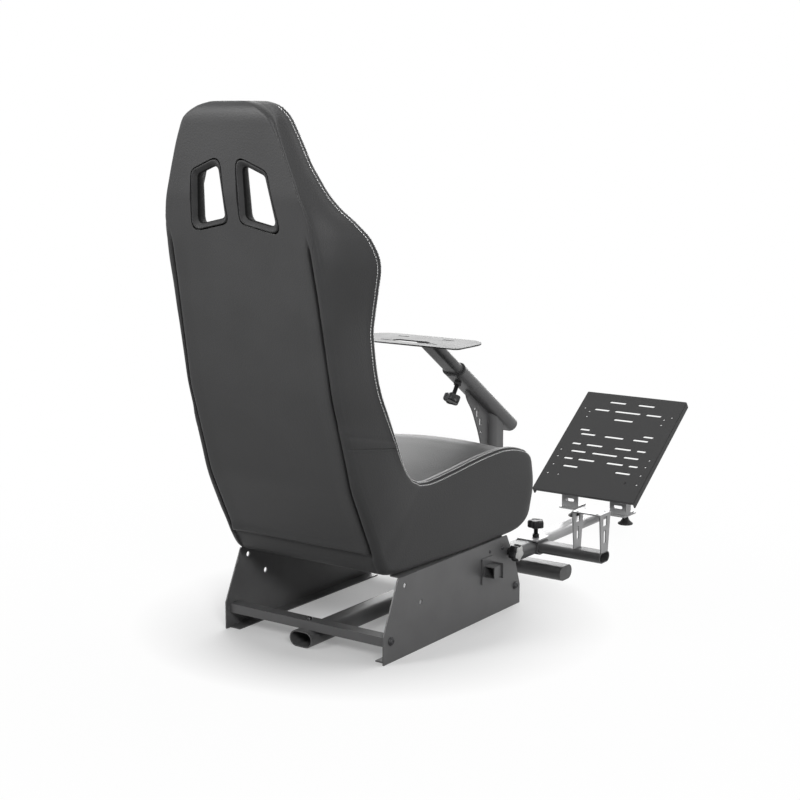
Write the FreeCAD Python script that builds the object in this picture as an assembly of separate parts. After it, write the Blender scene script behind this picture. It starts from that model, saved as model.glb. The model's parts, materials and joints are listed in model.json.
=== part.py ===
"""Sim racing cockpit: one-piece bucket seat on a sheet-steel base, sliding pedal and wheel carriers.

Millimetres. X is the sitter's right, Y is forward, Z is up; the floor is Z = 0 and X = 0 the centre plane.
"""
import math
import os

import FreeCAD
import Part

V = FreeCAD.Vector

# Fits
SEAT_FIT = 0.2
SLIDE_FIT = 0.4
MOVING_GAP = 6.0

# Flat-oval tubes
TUBE_W = 57.0
TUBE_H = 34.0
TUBE_WALL = 2.5
INNER_W = 48.0
INNER_H = 25.0
INNER_WALL = 2.0
BUSH_FLANGE = 4.0
BUSH_DEPTH = 40.0
BUSH_RIM = 2.0

# Side plates
PLATE_HALF = 205.0
PLATE_T = 3.0
PLATE_LENGTH = 520.0
PLATE_TOP = 166.0
PLATE_REAR_Z = 58.0
PLATE_REAR_TOP_Y = 50.0
PLATE_FRONT_Z = 43.0
PLATE_FRONT_MID = (20.0, 99.0)
PLATE_FRONT_TOP_INSET = 58.0
FLANGE_W = 26.0
FLANGE_INSET = 12.0
PLATE_BOLT_Z = 44.0
BOLT_HOLE_R = 4.5
PLATE_HOLES = ((73.0, 147.0), (130.0, 99.0))
PLATE_HOLE_R = 5.5

# Cross bars between the plates
BAR_H = 19.0
BAR_W = 28.0
BAR_T = 2.5
REAR_BAR_Y = 25.0
FRONT_BAR_INSET = 20.0

# Base
BASE_REAR_Y = -4.0
BASE_FRONT_Y = 900.0
OUTRIGGER_Y = 735.0
OUTRIGGER_END = 200.0
CAP_T = 2.0

# Wheel column
POST_X = 34.0
POST_Y = 57.0
COLUMN_ANGLE = 35.0
COLUMN_LOW_Y = 792.3
COLUMN_LOW_Z = 340.1
COLUMN_LENGTH = 280.0
COLUMN_CAP_T = 2.0
GUSSET_T = 4.0
GUSSET_HOLE_R = 4.0
COLUMN_KNOB_AT = 250.0
WHEEL_TUBE_START = 115.0
WHEEL_PLATE_Z = 582.0
WHEEL_PLATE_T = 3.0
WHEEL_PLATE_W = 296.0
WHEEL_PLATE_REAR = 345.0
WHEEL_PLATE_FRONT = 480.0
WHEEL_PLATE_R = 14.0
WHEEL_PLATE_FRONT_R = 56.0
WHEEL_SLOT_X = 60.0
WHEEL_SLOT_Y = 33.0
WHEEL_SLOT_L = 24.0
WHEEL_SLOT_R = 3.3
WHEEL_WINDOW_L = 66.0
WHEEL_WINDOW_R = 14.0

# Star knobs
KNOB_R = 20.0
KNOB_H = 18.0
KNOB_LOBE_R = 7.5
KNOB_STEM_R = 5.0
KNOB_NUT_R = 9.0
KNOB_NUT_H = 9.0

# Pedal carrier
PEDAL_TUBE_REAR = 560.0
PEDAL_TUBE_FRONT = 1300.0
BRIDGE_W = 196.0
BRIDGE_T = 4.0
BRIDGE_REAR = 1236.0
UPRIGHT_X = 72.0
UPRIGHT_W = 48.0
UPRIGHT_T = 4.0
UPRIGHT_Y = 1246.0
UPRIGHT_SLOT_Z = 20.0
PIVOT_Y = 1264.0
PIVOT_Z = 112.0
PIVOT_R = 5.0
FOOT_X = 75.0
FOOT_Y = 1286.0
FOOT_R = 20.0
FOOT_TOP_R = 6.5
FOOT_H = 24.0

# Pedal plate
PEDAL_HALF = 150.0
PEDAL_T = 3.0
PEDAL_LOW_Y = 1179.0
PEDAL_LOW_Z = 88.0
PEDAL_TOP_Y = 1482.0
PEDAL_TOP_Z = 308.0
PEDAL_FLANGE = 20.0
LUG_R = 12.0
LUG_T = 4.0

# Shifter support
SUPPORT_X = 109.5
SLEEVE_Y = 735.0
SLEEVE_INNER_X = 81.0
SLEEVE_OUTER_X = 140.0
CLAMP_T = 3.0
CLAMP_L = 52.0
CLAMP_W = 60.0
SHIFTER_KNOB_X = 120.0
ARM_START = 90.0
ARM_END = 302.0
STAND_GAP = 73.0
STAND_T = 3.0
STAND_RISE = 88.0
STAND_TOP_W = 50.0
STAND_FOOT_W = 32.0
STAND_WINDOW_W = 18.0
STAND_WINDOW_H = 22.0
SHIFTER_BOLT_X = 25.0
SHIFTER_BOLT_Y = 18.0
SHIFTER_BOLT_R = 3.3

# Side bracket on the right plate
SOCKET_Y = 381.0
SOCKET_Z = 107.0
SOCKET_OUT = 25.0
SOCKET_WALL = 2.0
SOCKET_LENGTH = 29.0
SOCKET_PLATE_T = 3.0
SOCKET_PLATE_L = 45.0
SOCKET_PLATE_H = 56.0
SOCKET_RIM = 4.0
SIDE_KNOB_INSET = 50.0
SIDE_KNOB_Z = 128.0

# Bucket seat
SEAT_SPLIT_Z = 340.0
HEAD_SPLIT_Z = 846.0
BOLSTER_SPLIT_X = 124.0
SEAT_HALF = 205.0
SEAT_FRONT_Y = 585.0
SEAT_FRONT_R = 28.0
SEAT_REAR_R = 18.0
SEAT_WELL_HALF = 140.0
SEAT_WELL_Z = 262.0
SEAT_LIP_HALF = 146.0
SEAT_LIP_Y = 536.0
SEAT_LIP_Z = 344.0
PANEL_T = 8.0
PANEL_GROOVE = 3.0
PANEL_LOW_Z = 221.0
BEZEL_T = 4.0
BEZEL_W = 11.0
HARNESS_FLARE = 16.0

# Rear face of the seat: height, distance from the rear of the plates
BACK_LINE = ((166.0, 28.0), (200.0, 5.0), (221.0, -4.0), (357.0, -70.0), (548.0, -128.0), (742.0, -163.0),
             (922.0, -200.0), (1064.0, -212.0), (1080.0, -210.0), (1092.0, -201.0))

# Seat back sections under the head: height, rear and front width past SEAT_HALF, bolster depth, cushion depth
BACK_WIDTHS = (
    (SEAT_SPLIT_Z, -9.0, 0.0, 196.0, 110.0),
    (357.0, -9.0, 2.0, 176.0, 97.0),
    (400.0, -10.0, 5.0, 150.0, 78.0),
    (450.0, -12.0, 6.0, 139.0, 66.0),
    (500.0, -14.0, 4.0, 133.0, 60.0),
    (548.0, -15.0, 1.0, 128.0, 60.0),
    (600.0, -15.0, -1.0, 125.0, 60.0),
    (660.0, -15.0, 0.0, 126.0, 60.0),
    (700.0, -14.0, 8.0, 128.0, 60.0),
    (742.0, -14.0, 18.0, 131.0, 60.0),
    (800.0, -15.0, 31.0, 132.0, 58.0),
    (840.0, -18.0, 24.0, 123.0, 52.0),
    (870.0, -22.0, 7.0, 110.0, 44.0),
)

# Head sections: height, rear half width, front half width, bolster depth, cushion depth
HEAD_SECTIONS = (
    (900.0, 175.0, 187.0, 96.0, 40.0),
    (922.0, 167.0, 174.0, 88.0, 40.0),
    (950.0, 157.0, 159.0, 82.0, 40.0),
    (980.0, 146.0, 144.0, 77.0, 40.0),
    (1010.0, 134.0, 132.0, 75.0, 40.0),
    (1040.0, 120.0, 120.0, 72.0, 40.0),
    (1064.0, 107.0, 110.0, 68.0, 40.0),
    (1080.0, 86.0, 95.0, 61.0, 38.0),
    (1092.0, 50.0, 64.0, 46.0, 30.0),
)

# Seat base, rear half: height, width of the rear face past SEAT_HALF
BASE_WIDTHS = ((PLATE_TOP, -29.0), (200.0, -19.0), (221.0, -15.0), (240.0, -11.0), (293.0, -6.0),
               (SEAT_SPLIT_Z, -9.0))
BASE_JOIN_Y = 134.0

# Side view of the seat base, front half: distance, height
BASE_LINE = ((BASE_JOIN_Y, 340.0), (240.0, 346.0), (328.0, 355.0), (420.0, 361.0), (502.0, 354.0), (545.0, 341.0),
             (575.0, 319.0), (SEAT_FRONT_Y, 281.0), (575.0, 225.0), (558.0, 190.0), (528.0, 174.0), (467.0, PLATE_TOP))

# Harness opening corners on the right side: half width, height
HARNESS = ((27.0, 879.0), (86.0, 866.0), (95.0, 876.0), (80.0, 958.0), (31.0, 977.0))

# Rear edge of the column gusset: distance behind the post, height; its slots follow
GUSSET_EDGE = ((0.0, 222.0), (29.5, 312.0), (41.0, 342.0), (54.5, 370.0), (70.5, 399.0), (90.0, 425.0))
GUSSET_TIP = 96.5
GUSSET_SLOTS = ((56.5, 397.0, 0.0), (47.0, 384.0, 11.0), (34.0, 363.0, 11.0), (31.0, 338.0, 0.0))

# Slots of the pedal plate: distance from centre, distance up, overall length
PEDAL_SLOTS = ((43.0, 344.0, 49.0), (0.0, 311.5, 77.0), (78.2, 311.5, 45.0), (0.0, 281.0, 57.0), (0.0, 215.5, 57.0),
               (79.0, 216.0, 44.5), (0.0, 151.0, 75.0), (79.0, 151.0, 44.0))
PEDAL_SLOT_R = 3.5

BASE_Z = TUBE_H / 2
INNER_BORE_W = INNER_W + 2 * SLIDE_FIT
INNER_BORE_H = INNER_H + 2 * SLIDE_FIT
BAR_Z = TUBE_H
FRONT_BAR_Y = PLATE_LENGTH - FRONT_BAR_INSET
PLATE_FRONT_TOP_Y = PLATE_LENGTH - PLATE_FRONT_TOP_INSET
SIDE_KNOB_Y = PLATE_LENGTH - SIDE_KNOB_INSET
BAR_TOP = BAR_Z + BAR_H
SUPPORT_Z = BAR_TOP + TUBE_H / 2
PEDAL_ANGLE = math.degrees(math.atan2(PEDAL_TOP_Z - PEDAL_LOW_Z, PEDAL_TOP_Y - PEDAL_LOW_Y))
PEDAL_LENGTH = math.hypot(PEDAL_TOP_Z - PEDAL_LOW_Z, PEDAL_TOP_Y - PEDAL_LOW_Y)
INNER_TOP = BASE_Z + INNER_H / 2
BRIDGE_TOP = INNER_TOP + BRIDGE_T
ARM_TOP = SUPPORT_Z + INNER_H / 2
STAND_LEFT = ARM_END - STAND_GAP
BACK_SECTIONS = [(z, SEAT_HALF + rear, SEAT_HALF + front, depth, cushion)
                 for z, rear, front, depth, cushion in BACK_WIDTHS] + list(HEAD_SECTIONS)
BASE_SECTIONS = [(z, SEAT_HALF + wide) for z, wide in BASE_WIDTHS]
ORIGIN_Y = 0.5 * (BASE_REAR_Y + BASE_FRONT_Y)


def box(x0, x1, y0, y1, z0, z1):
    return Part.makeBox(x1 - x0, y1 - y0, z1 - z0, V(x0, y0, z0))


def cyl(radius, height, base, axis):
    return Part.makeCylinder(radius, height, base, axis)


def prism(points, push):
    wire = Part.makePolygon(list(points) + [points[0]])
    return Part.Face(wire).extrude(push)


def oval_wire(width, height):
    """Flat-oval outline in the XY plane, long axis X, centred."""
    r = height / 2
    a = width / 2 - r
    edges = [
        Part.makeLine(V(-a, -r, 0), V(a, -r, 0)),
        Part.Arc(V(a, -r, 0), V(a + r, 0, 0), V(a, r, 0)).toShape(),
        Part.makeLine(V(a, r, 0), V(-a, r, 0)),
        Part.Arc(V(-a, r, 0), V(-a - r, 0, 0), V(-a, -r, 0)).toShape(),
    ]
    return Part.Wire(edges)


def oval_bar(width, height, length):
    return Part.Face(oval_wire(width, height)).extrude(V(0, 0, length))


def oval_tube(width, height, length, bore_w, bore_h):
    return oval_bar(width, height, length).cut(oval_bar(bore_w, bore_h, length))


def along_y(shape, x, y, z):
    """Turns a shape built along Z to run forward from (x, y, z), long axis across."""
    out = shape.copy()
    out.rotate(V(0, 0, 0), V(1, 0, 0), -90)
    out.translate(V(x, y, z))
    return out


def along_x(shape, x, y, z):
    """Turns a shape built along Z to run to the right, long axis fore and aft."""
    out = shape.copy()
    out.rotate(V(0, 0, 0), V(0, 0, 1), 90)
    out.rotate(V(0, 0, 0), V(0, 1, 0), 90)
    out.translate(V(x, y, z))
    return out


def upright(shape, x, y, z):
    """Stands a shape built along Z at (x, y, z), long axis fore and aft."""
    out = shape.copy()
    out.rotate(V(0, 0, 0), V(0, 0, 1), 90)
    out.translate(V(x, y, z))
    return out


def up_column(shape, at):
    """Lays a shape built along Z on the column axis, at a distance from its low end."""
    out = shape.copy()
    out.rotate(V(0, 0, 0), V(1, 0, 0), 90 - COLUMN_ANGLE)
    c = math.cos(math.radians(COLUMN_ANGLE))
    s = math.sin(math.radians(COLUMN_ANGLE))
    out.translate(V(0, COLUMN_LOW_Y - c * at, COLUMN_LOW_Z + s * at))
    return out


def slot_cut(length, radius, depth):
    """Oblong through cut along X, centred, from -depth to depth."""
    out = oval_bar(length + 2 * radius, 2 * radius, 2 * depth)
    out.translate(V(0, 0, -depth))
    return out


def at(shape, x, y, z):
    out = shape.copy()
    out.translate(V(x, y, z))
    return out


def mirrored(shape):
    return shape.mirror(V(0, 0, 0), V(1, 0, 0))


def star_knob(stem):
    """Five-lobed knob on a stem along Z, with a nut at the foot; stem starts at Z = 0."""
    top = stem + KNOB_H
    body = cyl(KNOB_R - KNOB_LOBE_R, KNOB_H, V(0, 0, stem), V(0, 0, 1))
    for i in range(5):
        a = math.radians(90 + 72 * i)
        c = V((KNOB_R - KNOB_LOBE_R) * math.cos(a), (KNOB_R - KNOB_LOBE_R) * math.sin(a), stem)
        body = body.fuse(cyl(KNOB_LOBE_R, KNOB_H, c, V(0, 0, 1)))
    neck = Part.makeCone(KNOB_STEM_R, KNOB_R - KNOB_LOBE_R, KNOB_H / 2, V(0, 0, stem - KNOB_H / 2), V(0, 0, 1))
    rod = cyl(KNOB_STEM_R, top - 1.0, V(0, 0, 0), V(0, 0, 1))
    nut = cyl(KNOB_NUT_R, KNOB_NUT_H, V(0, 0, 0), V(0, 0, 1))
    return body.fuse(neck).fuse(rod).fuse(nut).removeSplitter()


def side_plate():
    """Right plate: profile, inward flanges and holes."""
    t = PLATE_T
    outer = PLATE_HALF
    inner = outer - t
    profile = [
        V(inner, 0, 0),
        V(inner, PLATE_LENGTH, 0),
        V(inner, PLATE_LENGTH, PLATE_FRONT_Z),
        V(inner, PLATE_LENGTH - PLATE_FRONT_MID[0], PLATE_FRONT_MID[1]),
        V(inner, PLATE_FRONT_TOP_Y, PLATE_TOP),
        V(inner, PLATE_REAR_TOP_Y, PLATE_TOP),
        V(inner, 0, PLATE_REAR_Z),
    ]
    plate = prism(profile, V(t, 0, 0))
    foot = box(inner - FLANGE_W, inner, FLANGE_INSET, PLATE_LENGTH - FLANGE_INSET, 0, t)
    head = box(inner - FLANGE_W, inner, PLATE_REAR_TOP_Y + FLANGE_INSET, PLATE_FRONT_TOP_Y - FLANGE_INSET,
               PLATE_TOP - t, PLATE_TOP)
    plate = plate.fuse(foot).fuse(head)
    holes = [(y, z, PLATE_HOLE_R) for y, z in PLATE_HOLES]
    holes += [(REAR_BAR_Y, PLATE_BOLT_Z, BOLT_HOLE_R), (FRONT_BAR_Y, PLATE_BOLT_Z, BOLT_HOLE_R)]
    for y, z, r in holes:
        plate = plate.cut(cyl(r, 4 * t, V(inner - t, y, z), V(1, 0, 0)))
    return plate.removeSplitter()


def cross_bar(y):
    """Inverted channel between the plates with closed ends that take the side bolts."""
    half = PLATE_HALF - PLATE_T
    y0 = y - BAR_W / 2
    y1 = y + BAR_W / 2
    bar = box(-half, half, y0, y1, BAR_Z, BAR_TOP)
    bar = bar.cut(box(-half + BAR_T, half - BAR_T, y0 + BAR_T, y1 - BAR_T, BAR_Z - 1, BAR_TOP - BAR_T))
    for x in (-half - 1, half - BAR_T - 1):
        bar = bar.cut(cyl(BOLT_HOLE_R, BAR_T + 2, V(x, y, PLATE_BOLT_Z), V(1, 0, 0)))
    return bar


def bushing():
    """Plastic bush at a tube mouth, along Z with the mouth plane at Z = 0."""
    plug = oval_bar(TUBE_W - 2 * TUBE_WALL - 2 * SEAT_FIT, TUBE_H - 2 * TUBE_WALL - 2 * SEAT_FIT, BUSH_DEPTH)
    rim = oval_bar(TUBE_W + BUSH_RIM, TUBE_H - 1.0, BUSH_FLANGE)
    body = at(plug, 0, 0, -BUSH_DEPTH).fuse(rim)
    bore = oval_bar(INNER_BORE_W, INNER_BORE_H, BUSH_DEPTH + BUSH_FLANGE + 2)
    return body.cut(at(bore, 0, 0, -BUSH_DEPTH - 1)).removeSplitter()


def end_cap(thickness):
    """Tube end cap with a short plug, along Z with the tube end at Z = 0."""
    plug = oval_bar(TUBE_W - 2 * TUBE_WALL - 2 * SEAT_FIT, TUBE_H - 2 * TUBE_WALL - 2 * SEAT_FIT, 12.0)
    return at(plug, 0, 0, -12.0).fuse(oval_bar(TUBE_W, TUBE_H, thickness)).removeSplitter()


def hollow(length):
    return oval_tube(TUBE_W, TUBE_H, length, TUBE_W - 2 * TUBE_WALL, TUBE_H - 2 * TUBE_WALL)


def inner_hollow(length):
    return oval_tube(INNER_W, INNER_H, length, INNER_W - 2 * INNER_WALL, INNER_H - 2 * INNER_WALL)


def base_tube():
    return along_y(hollow(BASE_FRONT_Y - BASE_REAR_Y), 0, BASE_REAR_Y, BASE_Z)


def base_bushing():
    return along_y(bushing(), 0, BASE_FRONT_Y, BASE_Z)


def outrigger():
    """Right stub of the cross foot, saddled on the base tube."""
    stub = along_x(hollow(OUTRIGGER_END), 0, OUTRIGGER_Y, BASE_Z)
    core = along_y(oval_bar(TUBE_W, TUBE_H, BASE_FRONT_Y - BASE_REAR_Y), 0, BASE_REAR_Y, BASE_Z)
    keep = stub.cut(core)
    solids = sorted(keep.Solids, key=lambda s: s.Volume)
    return solids[-1]


def outrigger_cap():
    return along_x(end_cap(CAP_T), OUTRIGGER_END, OUTRIGGER_Y, BASE_Z)


def column_core():
    return up_column(oval_bar(TUBE_W, TUBE_H, COLUMN_LENGTH), 0)


def column_post():
    height = COLUMN_LOW_Z + COLUMN_LENGTH * 0.3
    post = oval_tube(POST_Y, POST_X, height, POST_Y - 2 * TUBE_WALL, POST_X - 2 * TUBE_WALL)
    post = upright(post, 0, OUTRIGGER_Y, TUBE_H)
    above = up_column(box(-60, 60, 0, 400, 0, COLUMN_LENGTH), 0)
    return lowest(post.cut(column_core()).cut(above))


def lowest(shape):
    return sorted(shape.Solids, key=lambda s: s.BoundBox.ZMin)[0]


def column_gusset():
    """Web between the post and the underside of the column, with a hollow rear edge and four slots."""
    c = math.cos(math.radians(COLUMN_ANGLE))
    s = math.sin(math.radians(COLUMN_ANGLE))
    face = OUTRIGGER_Y - POST_Y / 2
    x = -GUSSET_T / 2
    under_y = COLUMN_LOW_Y - s * TUBE_H / 2
    under_z = COLUMN_LOW_Z - c * TUBE_H / 2
    root = V(x, face, under_z + (under_y - face) * s / c)
    tip = V(x, face - GUSSET_TIP, under_z + (under_y - face + GUSSET_TIP) * s / c)
    edge = [V(x, face - d, z) for d, z in GUSSET_EDGE] + [tip]
    curve = Part.BSplineCurve()
    curve.interpolate(edge)
    wire = Part.Wire([curve.toShape(), Part.makeLine(tip, root), Part.makeLine(root, edge[0])])
    web = Part.Face(wire).extrude(V(GUSSET_T, 0, 0))
    for d, z, length in GUSSET_SLOTS:
        hole = cyl(GUSSET_HOLE_R, 4 * GUSSET_T, V(-2 * GUSSET_T, face - d, z), V(1, 0, 0))
        if length:
            hole = slot_cut(length, GUSSET_HOLE_R, 2 * GUSSET_T)
            hole.rotate(V(0, 0, 0), V(0, 1, 0), 90)
            hole = at(hole, 0, face - d, z)
        web = web.cut(hole)
    return web


def wheel_tube():
    length = (WHEEL_PLATE_Z - COLUMN_LOW_Z) / math.sin(math.radians(COLUMN_ANGLE)) + TUBE_W - WHEEL_TUBE_START
    tube = up_column(inner_hollow(length), WHEEL_TUBE_START)
    return tube.cut(box(-100, 100, -200, 1000, WHEEL_PLATE_Z, WHEEL_PLATE_Z + 300))


def rounded_plate(half, y0, y1, z, t, r, front_r):
    """Flat plate with rounded corners, a larger radius at the front."""
    plate = box(-half, half, y0, y1, z, z + t)
    posts = [e for e in plate.Edges if abs(e.Vertexes[0].Z - e.Vertexes[1].Z) > t / 2]
    front = [e for e in posts if e.Vertexes[0].Y > 0.5 * (y0 + y1)]
    plate = plate.makeFillet(front_r, front)
    posts = [e for e in plate.Edges if abs(e.Vertexes[0].Z - e.Vertexes[-1].Z) > t / 2]
    rear = [e for e in posts if abs(e.Vertexes[0].Y - y0) < 0.01]
    return plate.makeFillet(r, rear)


def wheel_plate():
    """Flat plate on the wheel tube, with a window and four bolt slots."""
    mid = 0.5 * (WHEEL_PLATE_REAR + WHEEL_PLATE_FRONT)
    plate = rounded_plate(WHEEL_PLATE_W / 2, WHEEL_PLATE_REAR, WHEEL_PLATE_FRONT, WHEEL_PLATE_Z, WHEEL_PLATE_T,
                          WHEEL_PLATE_R, WHEEL_PLATE_FRONT_R)
    plate = plate.cut(at(slot_cut(WHEEL_WINDOW_L, WHEEL_WINDOW_R, 10), 0, mid - 24.0, WHEEL_PLATE_Z))
    for x in (-WHEEL_SLOT_X, WHEEL_SLOT_X):
        for y in (mid - WHEEL_SLOT_Y, mid + WHEEL_SLOT_Y):
            plate = plate.cut(at(slot_cut(WHEEL_SLOT_L, WHEEL_SLOT_R, 10), x, y, WHEEL_PLATE_Z))
    return plate


def column_knob():
    c = math.cos(math.radians(COLUMN_ANGLE))
    s = math.sin(math.radians(COLUMN_ANGLE))
    knob = star_knob(34.0)
    knob.rotate(V(0, 0, 0), V(1, 0, 0), 180 - COLUMN_ANGLE)
    y = COLUMN_LOW_Y - c * COLUMN_KNOB_AT - s * TUBE_H / 2
    z = COLUMN_LOW_Z + s * COLUMN_KNOB_AT - c * TUBE_H / 2
    return at(knob, 0, y, z)


def pedal_tube():
    return along_y(inner_hollow(PEDAL_TUBE_FRONT - PEDAL_TUBE_REAR), 0, PEDAL_TUBE_REAR, BASE_Z)


def pedal_bridge():
    half = BRIDGE_W / 2
    return box(-half, half, BRIDGE_REAR, PEDAL_TUBE_FRONT, INNER_TOP, BRIDGE_TOP)


def pedal_upright():
    """Right angle bracket: slotted rear face, base tab, ear and pivot stud."""
    x0 = UPRIGHT_X - UPRIGHT_W / 2
    x1 = UPRIGHT_X + UPRIGHT_W / 2
    t = UPRIGHT_T
    top = PIVOT_Z + PIVOT_R + 4.0
    face = box(x0, x1, UPRIGHT_Y, UPRIGHT_Y + t, BRIDGE_TOP, top)
    tab = box(x0, x1, UPRIGHT_Y, PEDAL_TUBE_FRONT - 8.0, BRIDGE_TOP, BRIDGE_TOP + t)
    ear = box(x1 - t, x1, UPRIGHT_Y, PIVOT_Y + PIVOT_R + 5.0, BRIDGE_TOP, top)
    reach = MOVING_GAP + LUG_T + MOVING_GAP / 2
    stud = cyl(PIVOT_R, reach + t, V(x1 - t, PIVOT_Y, PIVOT_Z), V(1, 0, 0))
    slot = slot_cut(18.0, 4.0, 10.0)
    slot.rotate(V(0, 0, 0), V(1, 0, 0), 90)
    out = face.fuse(tab).fuse(ear).fuse(stud)
    return out.cut(at(slot, UPRIGHT_X, UPRIGHT_Y, BRIDGE_TOP + UPRIGHT_SLOT_Z)).removeSplitter()


def pedal_foot():
    cone = Part.makeCone(FOOT_R - 2.0, FOOT_TOP_R, FOOT_H - 4.0, V(FOOT_X, FOOT_Y, 4.0), V(0, 0, 1))
    disc = cyl(FOOT_R, 4.0, V(FOOT_X, FOOT_Y, 0), V(0, 0, 1))
    stud = cyl(KNOB_STEM_R, INNER_TOP - 8.0, V(FOOT_X, FOOT_Y, 8.0), V(0, 0, 1))
    return disc.fuse(cone).fuse(stud).removeSplitter()


def plate_frame(shape):
    """Lays a shape built flat (X across, Y up the plate, Z out of its face) on the pedal plate."""
    out = shape.copy()
    out.rotate(V(0, 0, 0), V(1, 0, 0), PEDAL_ANGLE)
    out.translate(V(0, PEDAL_LOW_Y, PEDAL_LOW_Z))
    return out


def pedal_plate():
    """Sloped plate with side and lower flanges, slots and two pivot lugs."""
    t = PEDAL_T
    body = box(-PEDAL_HALF, PEDAL_HALF, 0, PEDAL_LENGTH, -t, 0)
    side = box(PEDAL_HALF - t, PEDAL_HALF, 0, PEDAL_LENGTH, -PEDAL_FLANGE, 0)
    low = box(-PEDAL_HALF, PEDAL_HALF, 0, t, -PEDAL_FLANGE, 0)
    body = body.fuse(side).fuse(mirrored(side)).fuse(low)
    for x, up, length in PEDAL_SLOTS:
        for sign in ((1, -1) if x else (1,)):
            body = body.cut(at(slot_cut(length - 2 * PEDAL_SLOT_R, PEDAL_SLOT_R, 2 * t), sign * x, up, 0))
    plate = plate_frame(body)
    lug = pivot_lug()
    plate = plate.fuse(lug).fuse(mirrored(lug))
    return plate.removeSplitter()


def pivot_lug():
    """Right lug under the plate, bored for the stud."""
    a = math.radians(PEDAL_ANGLE)
    out_y = -math.sin(a)
    out_z = math.cos(a)
    drop = (PIVOT_Y - PEDAL_LOW_Y) * out_y + (PIVOT_Z - PEDAL_LOW_Z) * out_z
    x0 = UPRIGHT_X + UPRIGHT_W / 2 + MOVING_GAP
    up = (PIVOT_Y - PEDAL_LOW_Y) * math.cos(a) + (PIVOT_Z - PEDAL_LOW_Z) * math.sin(a)
    arm = plate_frame(box(x0, x0 + LUG_T, up - LUG_R, up + LUG_R, drop, -PEDAL_T / 2))
    eye = cyl(LUG_R, LUG_T, V(x0, PIVOT_Y, PIVOT_Z), V(1, 0, 0))
    bore = cyl(PIVOT_R + SLIDE_FIT, 3 * LUG_T, V(x0 - LUG_T, PIVOT_Y, PIVOT_Z), V(1, 0, 0))
    return arm.fuse(eye).cut(bore)


def shifter_sleeve():
    length = SLEEVE_OUTER_X - SLEEVE_INNER_X
    tube = oval_tube(TUBE_W, TUBE_H, length, INNER_BORE_W, INNER_BORE_H)
    return along_x(tube, SLEEVE_INNER_X, SLEEVE_Y, SUPPORT_Z)


def shifter_support():
    """Tube from the front cross bar to the sleeve."""
    rear = FRONT_BAR_Y - BAR_W / 2
    tube = along_y(hollow(SLEEVE_Y - rear), SUPPORT_X, rear, SUPPORT_Z)
    length = SLEEVE_OUTER_X - SLEEVE_INNER_X
    core = along_x(oval_bar(TUBE_W, TUBE_H, length), SLEEVE_INNER_X, SLEEVE_Y, SUPPORT_Z)
    keep = tube.cut(core)
    return sorted(keep.Solids, key=lambda s: s.Volume)[-1]


def shifter_clamp():
    top = SUPPORT_Z + TUBE_H / 2
    x1 = SLEEVE_OUTER_X
    plate = box(x1 - CLAMP_L, x1, SLEEVE_Y - CLAMP_W / 2, SLEEVE_Y + CLAMP_W / 2, top, top + CLAMP_T)
    return plate


def shifter_knob():
    return at(star_knob(24.0), SHIFTER_KNOB_X, SLEEVE_Y, SUPPORT_Z + TUBE_H / 2 + CLAMP_T)


def shifter_arm():
    return along_x(inner_hollow(ARM_END - ARM_START), ARM_START, SLEEVE_Y, SUPPORT_Z)


def stand_leg(x):
    """Tapered sheet leg on the arm, wider at the top, with a window over a tall slot."""
    wide = STAND_TOP_W / 2
    slim = STAND_FOOT_W / 2
    z1 = ARM_TOP + STAND_RISE
    points = [V(x, SLEEVE_Y - slim, ARM_TOP), V(x, SLEEVE_Y + slim, ARM_TOP), V(x, SLEEVE_Y + wide, z1),
              V(x, SLEEVE_Y - wide, z1)]
    leg = prism(points, V(STAND_T, 0, 0))
    half = STAND_WINDOW_W / 2
    window = box(x - 1, x + STAND_T + 1, SLEEVE_Y - half, SLEEVE_Y + half, z1 - 4.0 - STAND_WINDOW_H, z1 - 4.0)
    slot = slot_cut(22.0, 5.0, 10.0)
    slot.rotate(V(0, 0, 0), V(0, 1, 0), 90)
    return leg.cut(window).cut(at(slot, x, SLEEVE_Y, ARM_TOP + 0.4 * STAND_RISE))


def stand_top():
    z = ARM_TOP + STAND_RISE
    half = STAND_TOP_W / 2
    plate = box(STAND_LEFT, ARM_END, SLEEVE_Y - half, SLEEVE_Y + half, z, z + STAND_T)
    mid = 0.5 * (STAND_LEFT + ARM_END)
    for dx in (-SHIFTER_BOLT_X, SHIFTER_BOLT_X):
        for dy in (-SHIFTER_BOLT_Y, SHIFTER_BOLT_Y):
            hole = cyl(SHIFTER_BOLT_R, 4 * STAND_T, V(mid + dx, SLEEVE_Y + dy, z - STAND_T), V(0, 0, 1))
            plate = plate.cut(hole)
    return plate


def side_socket():
    """Square socket with its backing plate and front rim, on the outside of the right plate."""
    x = PLATE_HALF
    half = SOCKET_OUT / 2
    y0 = SOCKET_Y - SOCKET_LENGTH / 2
    y1 = SOCKET_Y + SOCKET_LENGTH / 2
    backing = box(x, x + SOCKET_PLATE_T, SOCKET_Y - SOCKET_PLATE_L / 2, SOCKET_Y + SOCKET_PLATE_L / 2,
                  SOCKET_Z - SOCKET_PLATE_H / 2, SOCKET_Z + SOCKET_PLATE_H / 2)
    x0 = x + SOCKET_PLATE_T
    tube = box(x0, x0 + SOCKET_OUT, y0, y1, SOCKET_Z - half, SOCKET_Z + half)
    rim = box(x0, x0 + SOCKET_OUT + SOCKET_RIM, y1, y1 + SOCKET_WALL, SOCKET_Z - half - SOCKET_RIM,
              SOCKET_Z + half + SOCKET_RIM)
    w = SOCKET_WALL
    bore = box(x0 + w, x0 + SOCKET_OUT - w, y0 - 1, y1, SOCKET_Z - half + w, SOCKET_Z + half - w)
    return backing.fuse(tube).fuse(rim).cut(bore).removeSplitter()


def side_knob():
    knob = star_knob(10.0)
    knob.rotate(V(0, 0, 0), V(0, 1, 0), 90)
    return at(knob, PLATE_HALF, SIDE_KNOB_Y, SIDE_KNOB_Z)


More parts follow.
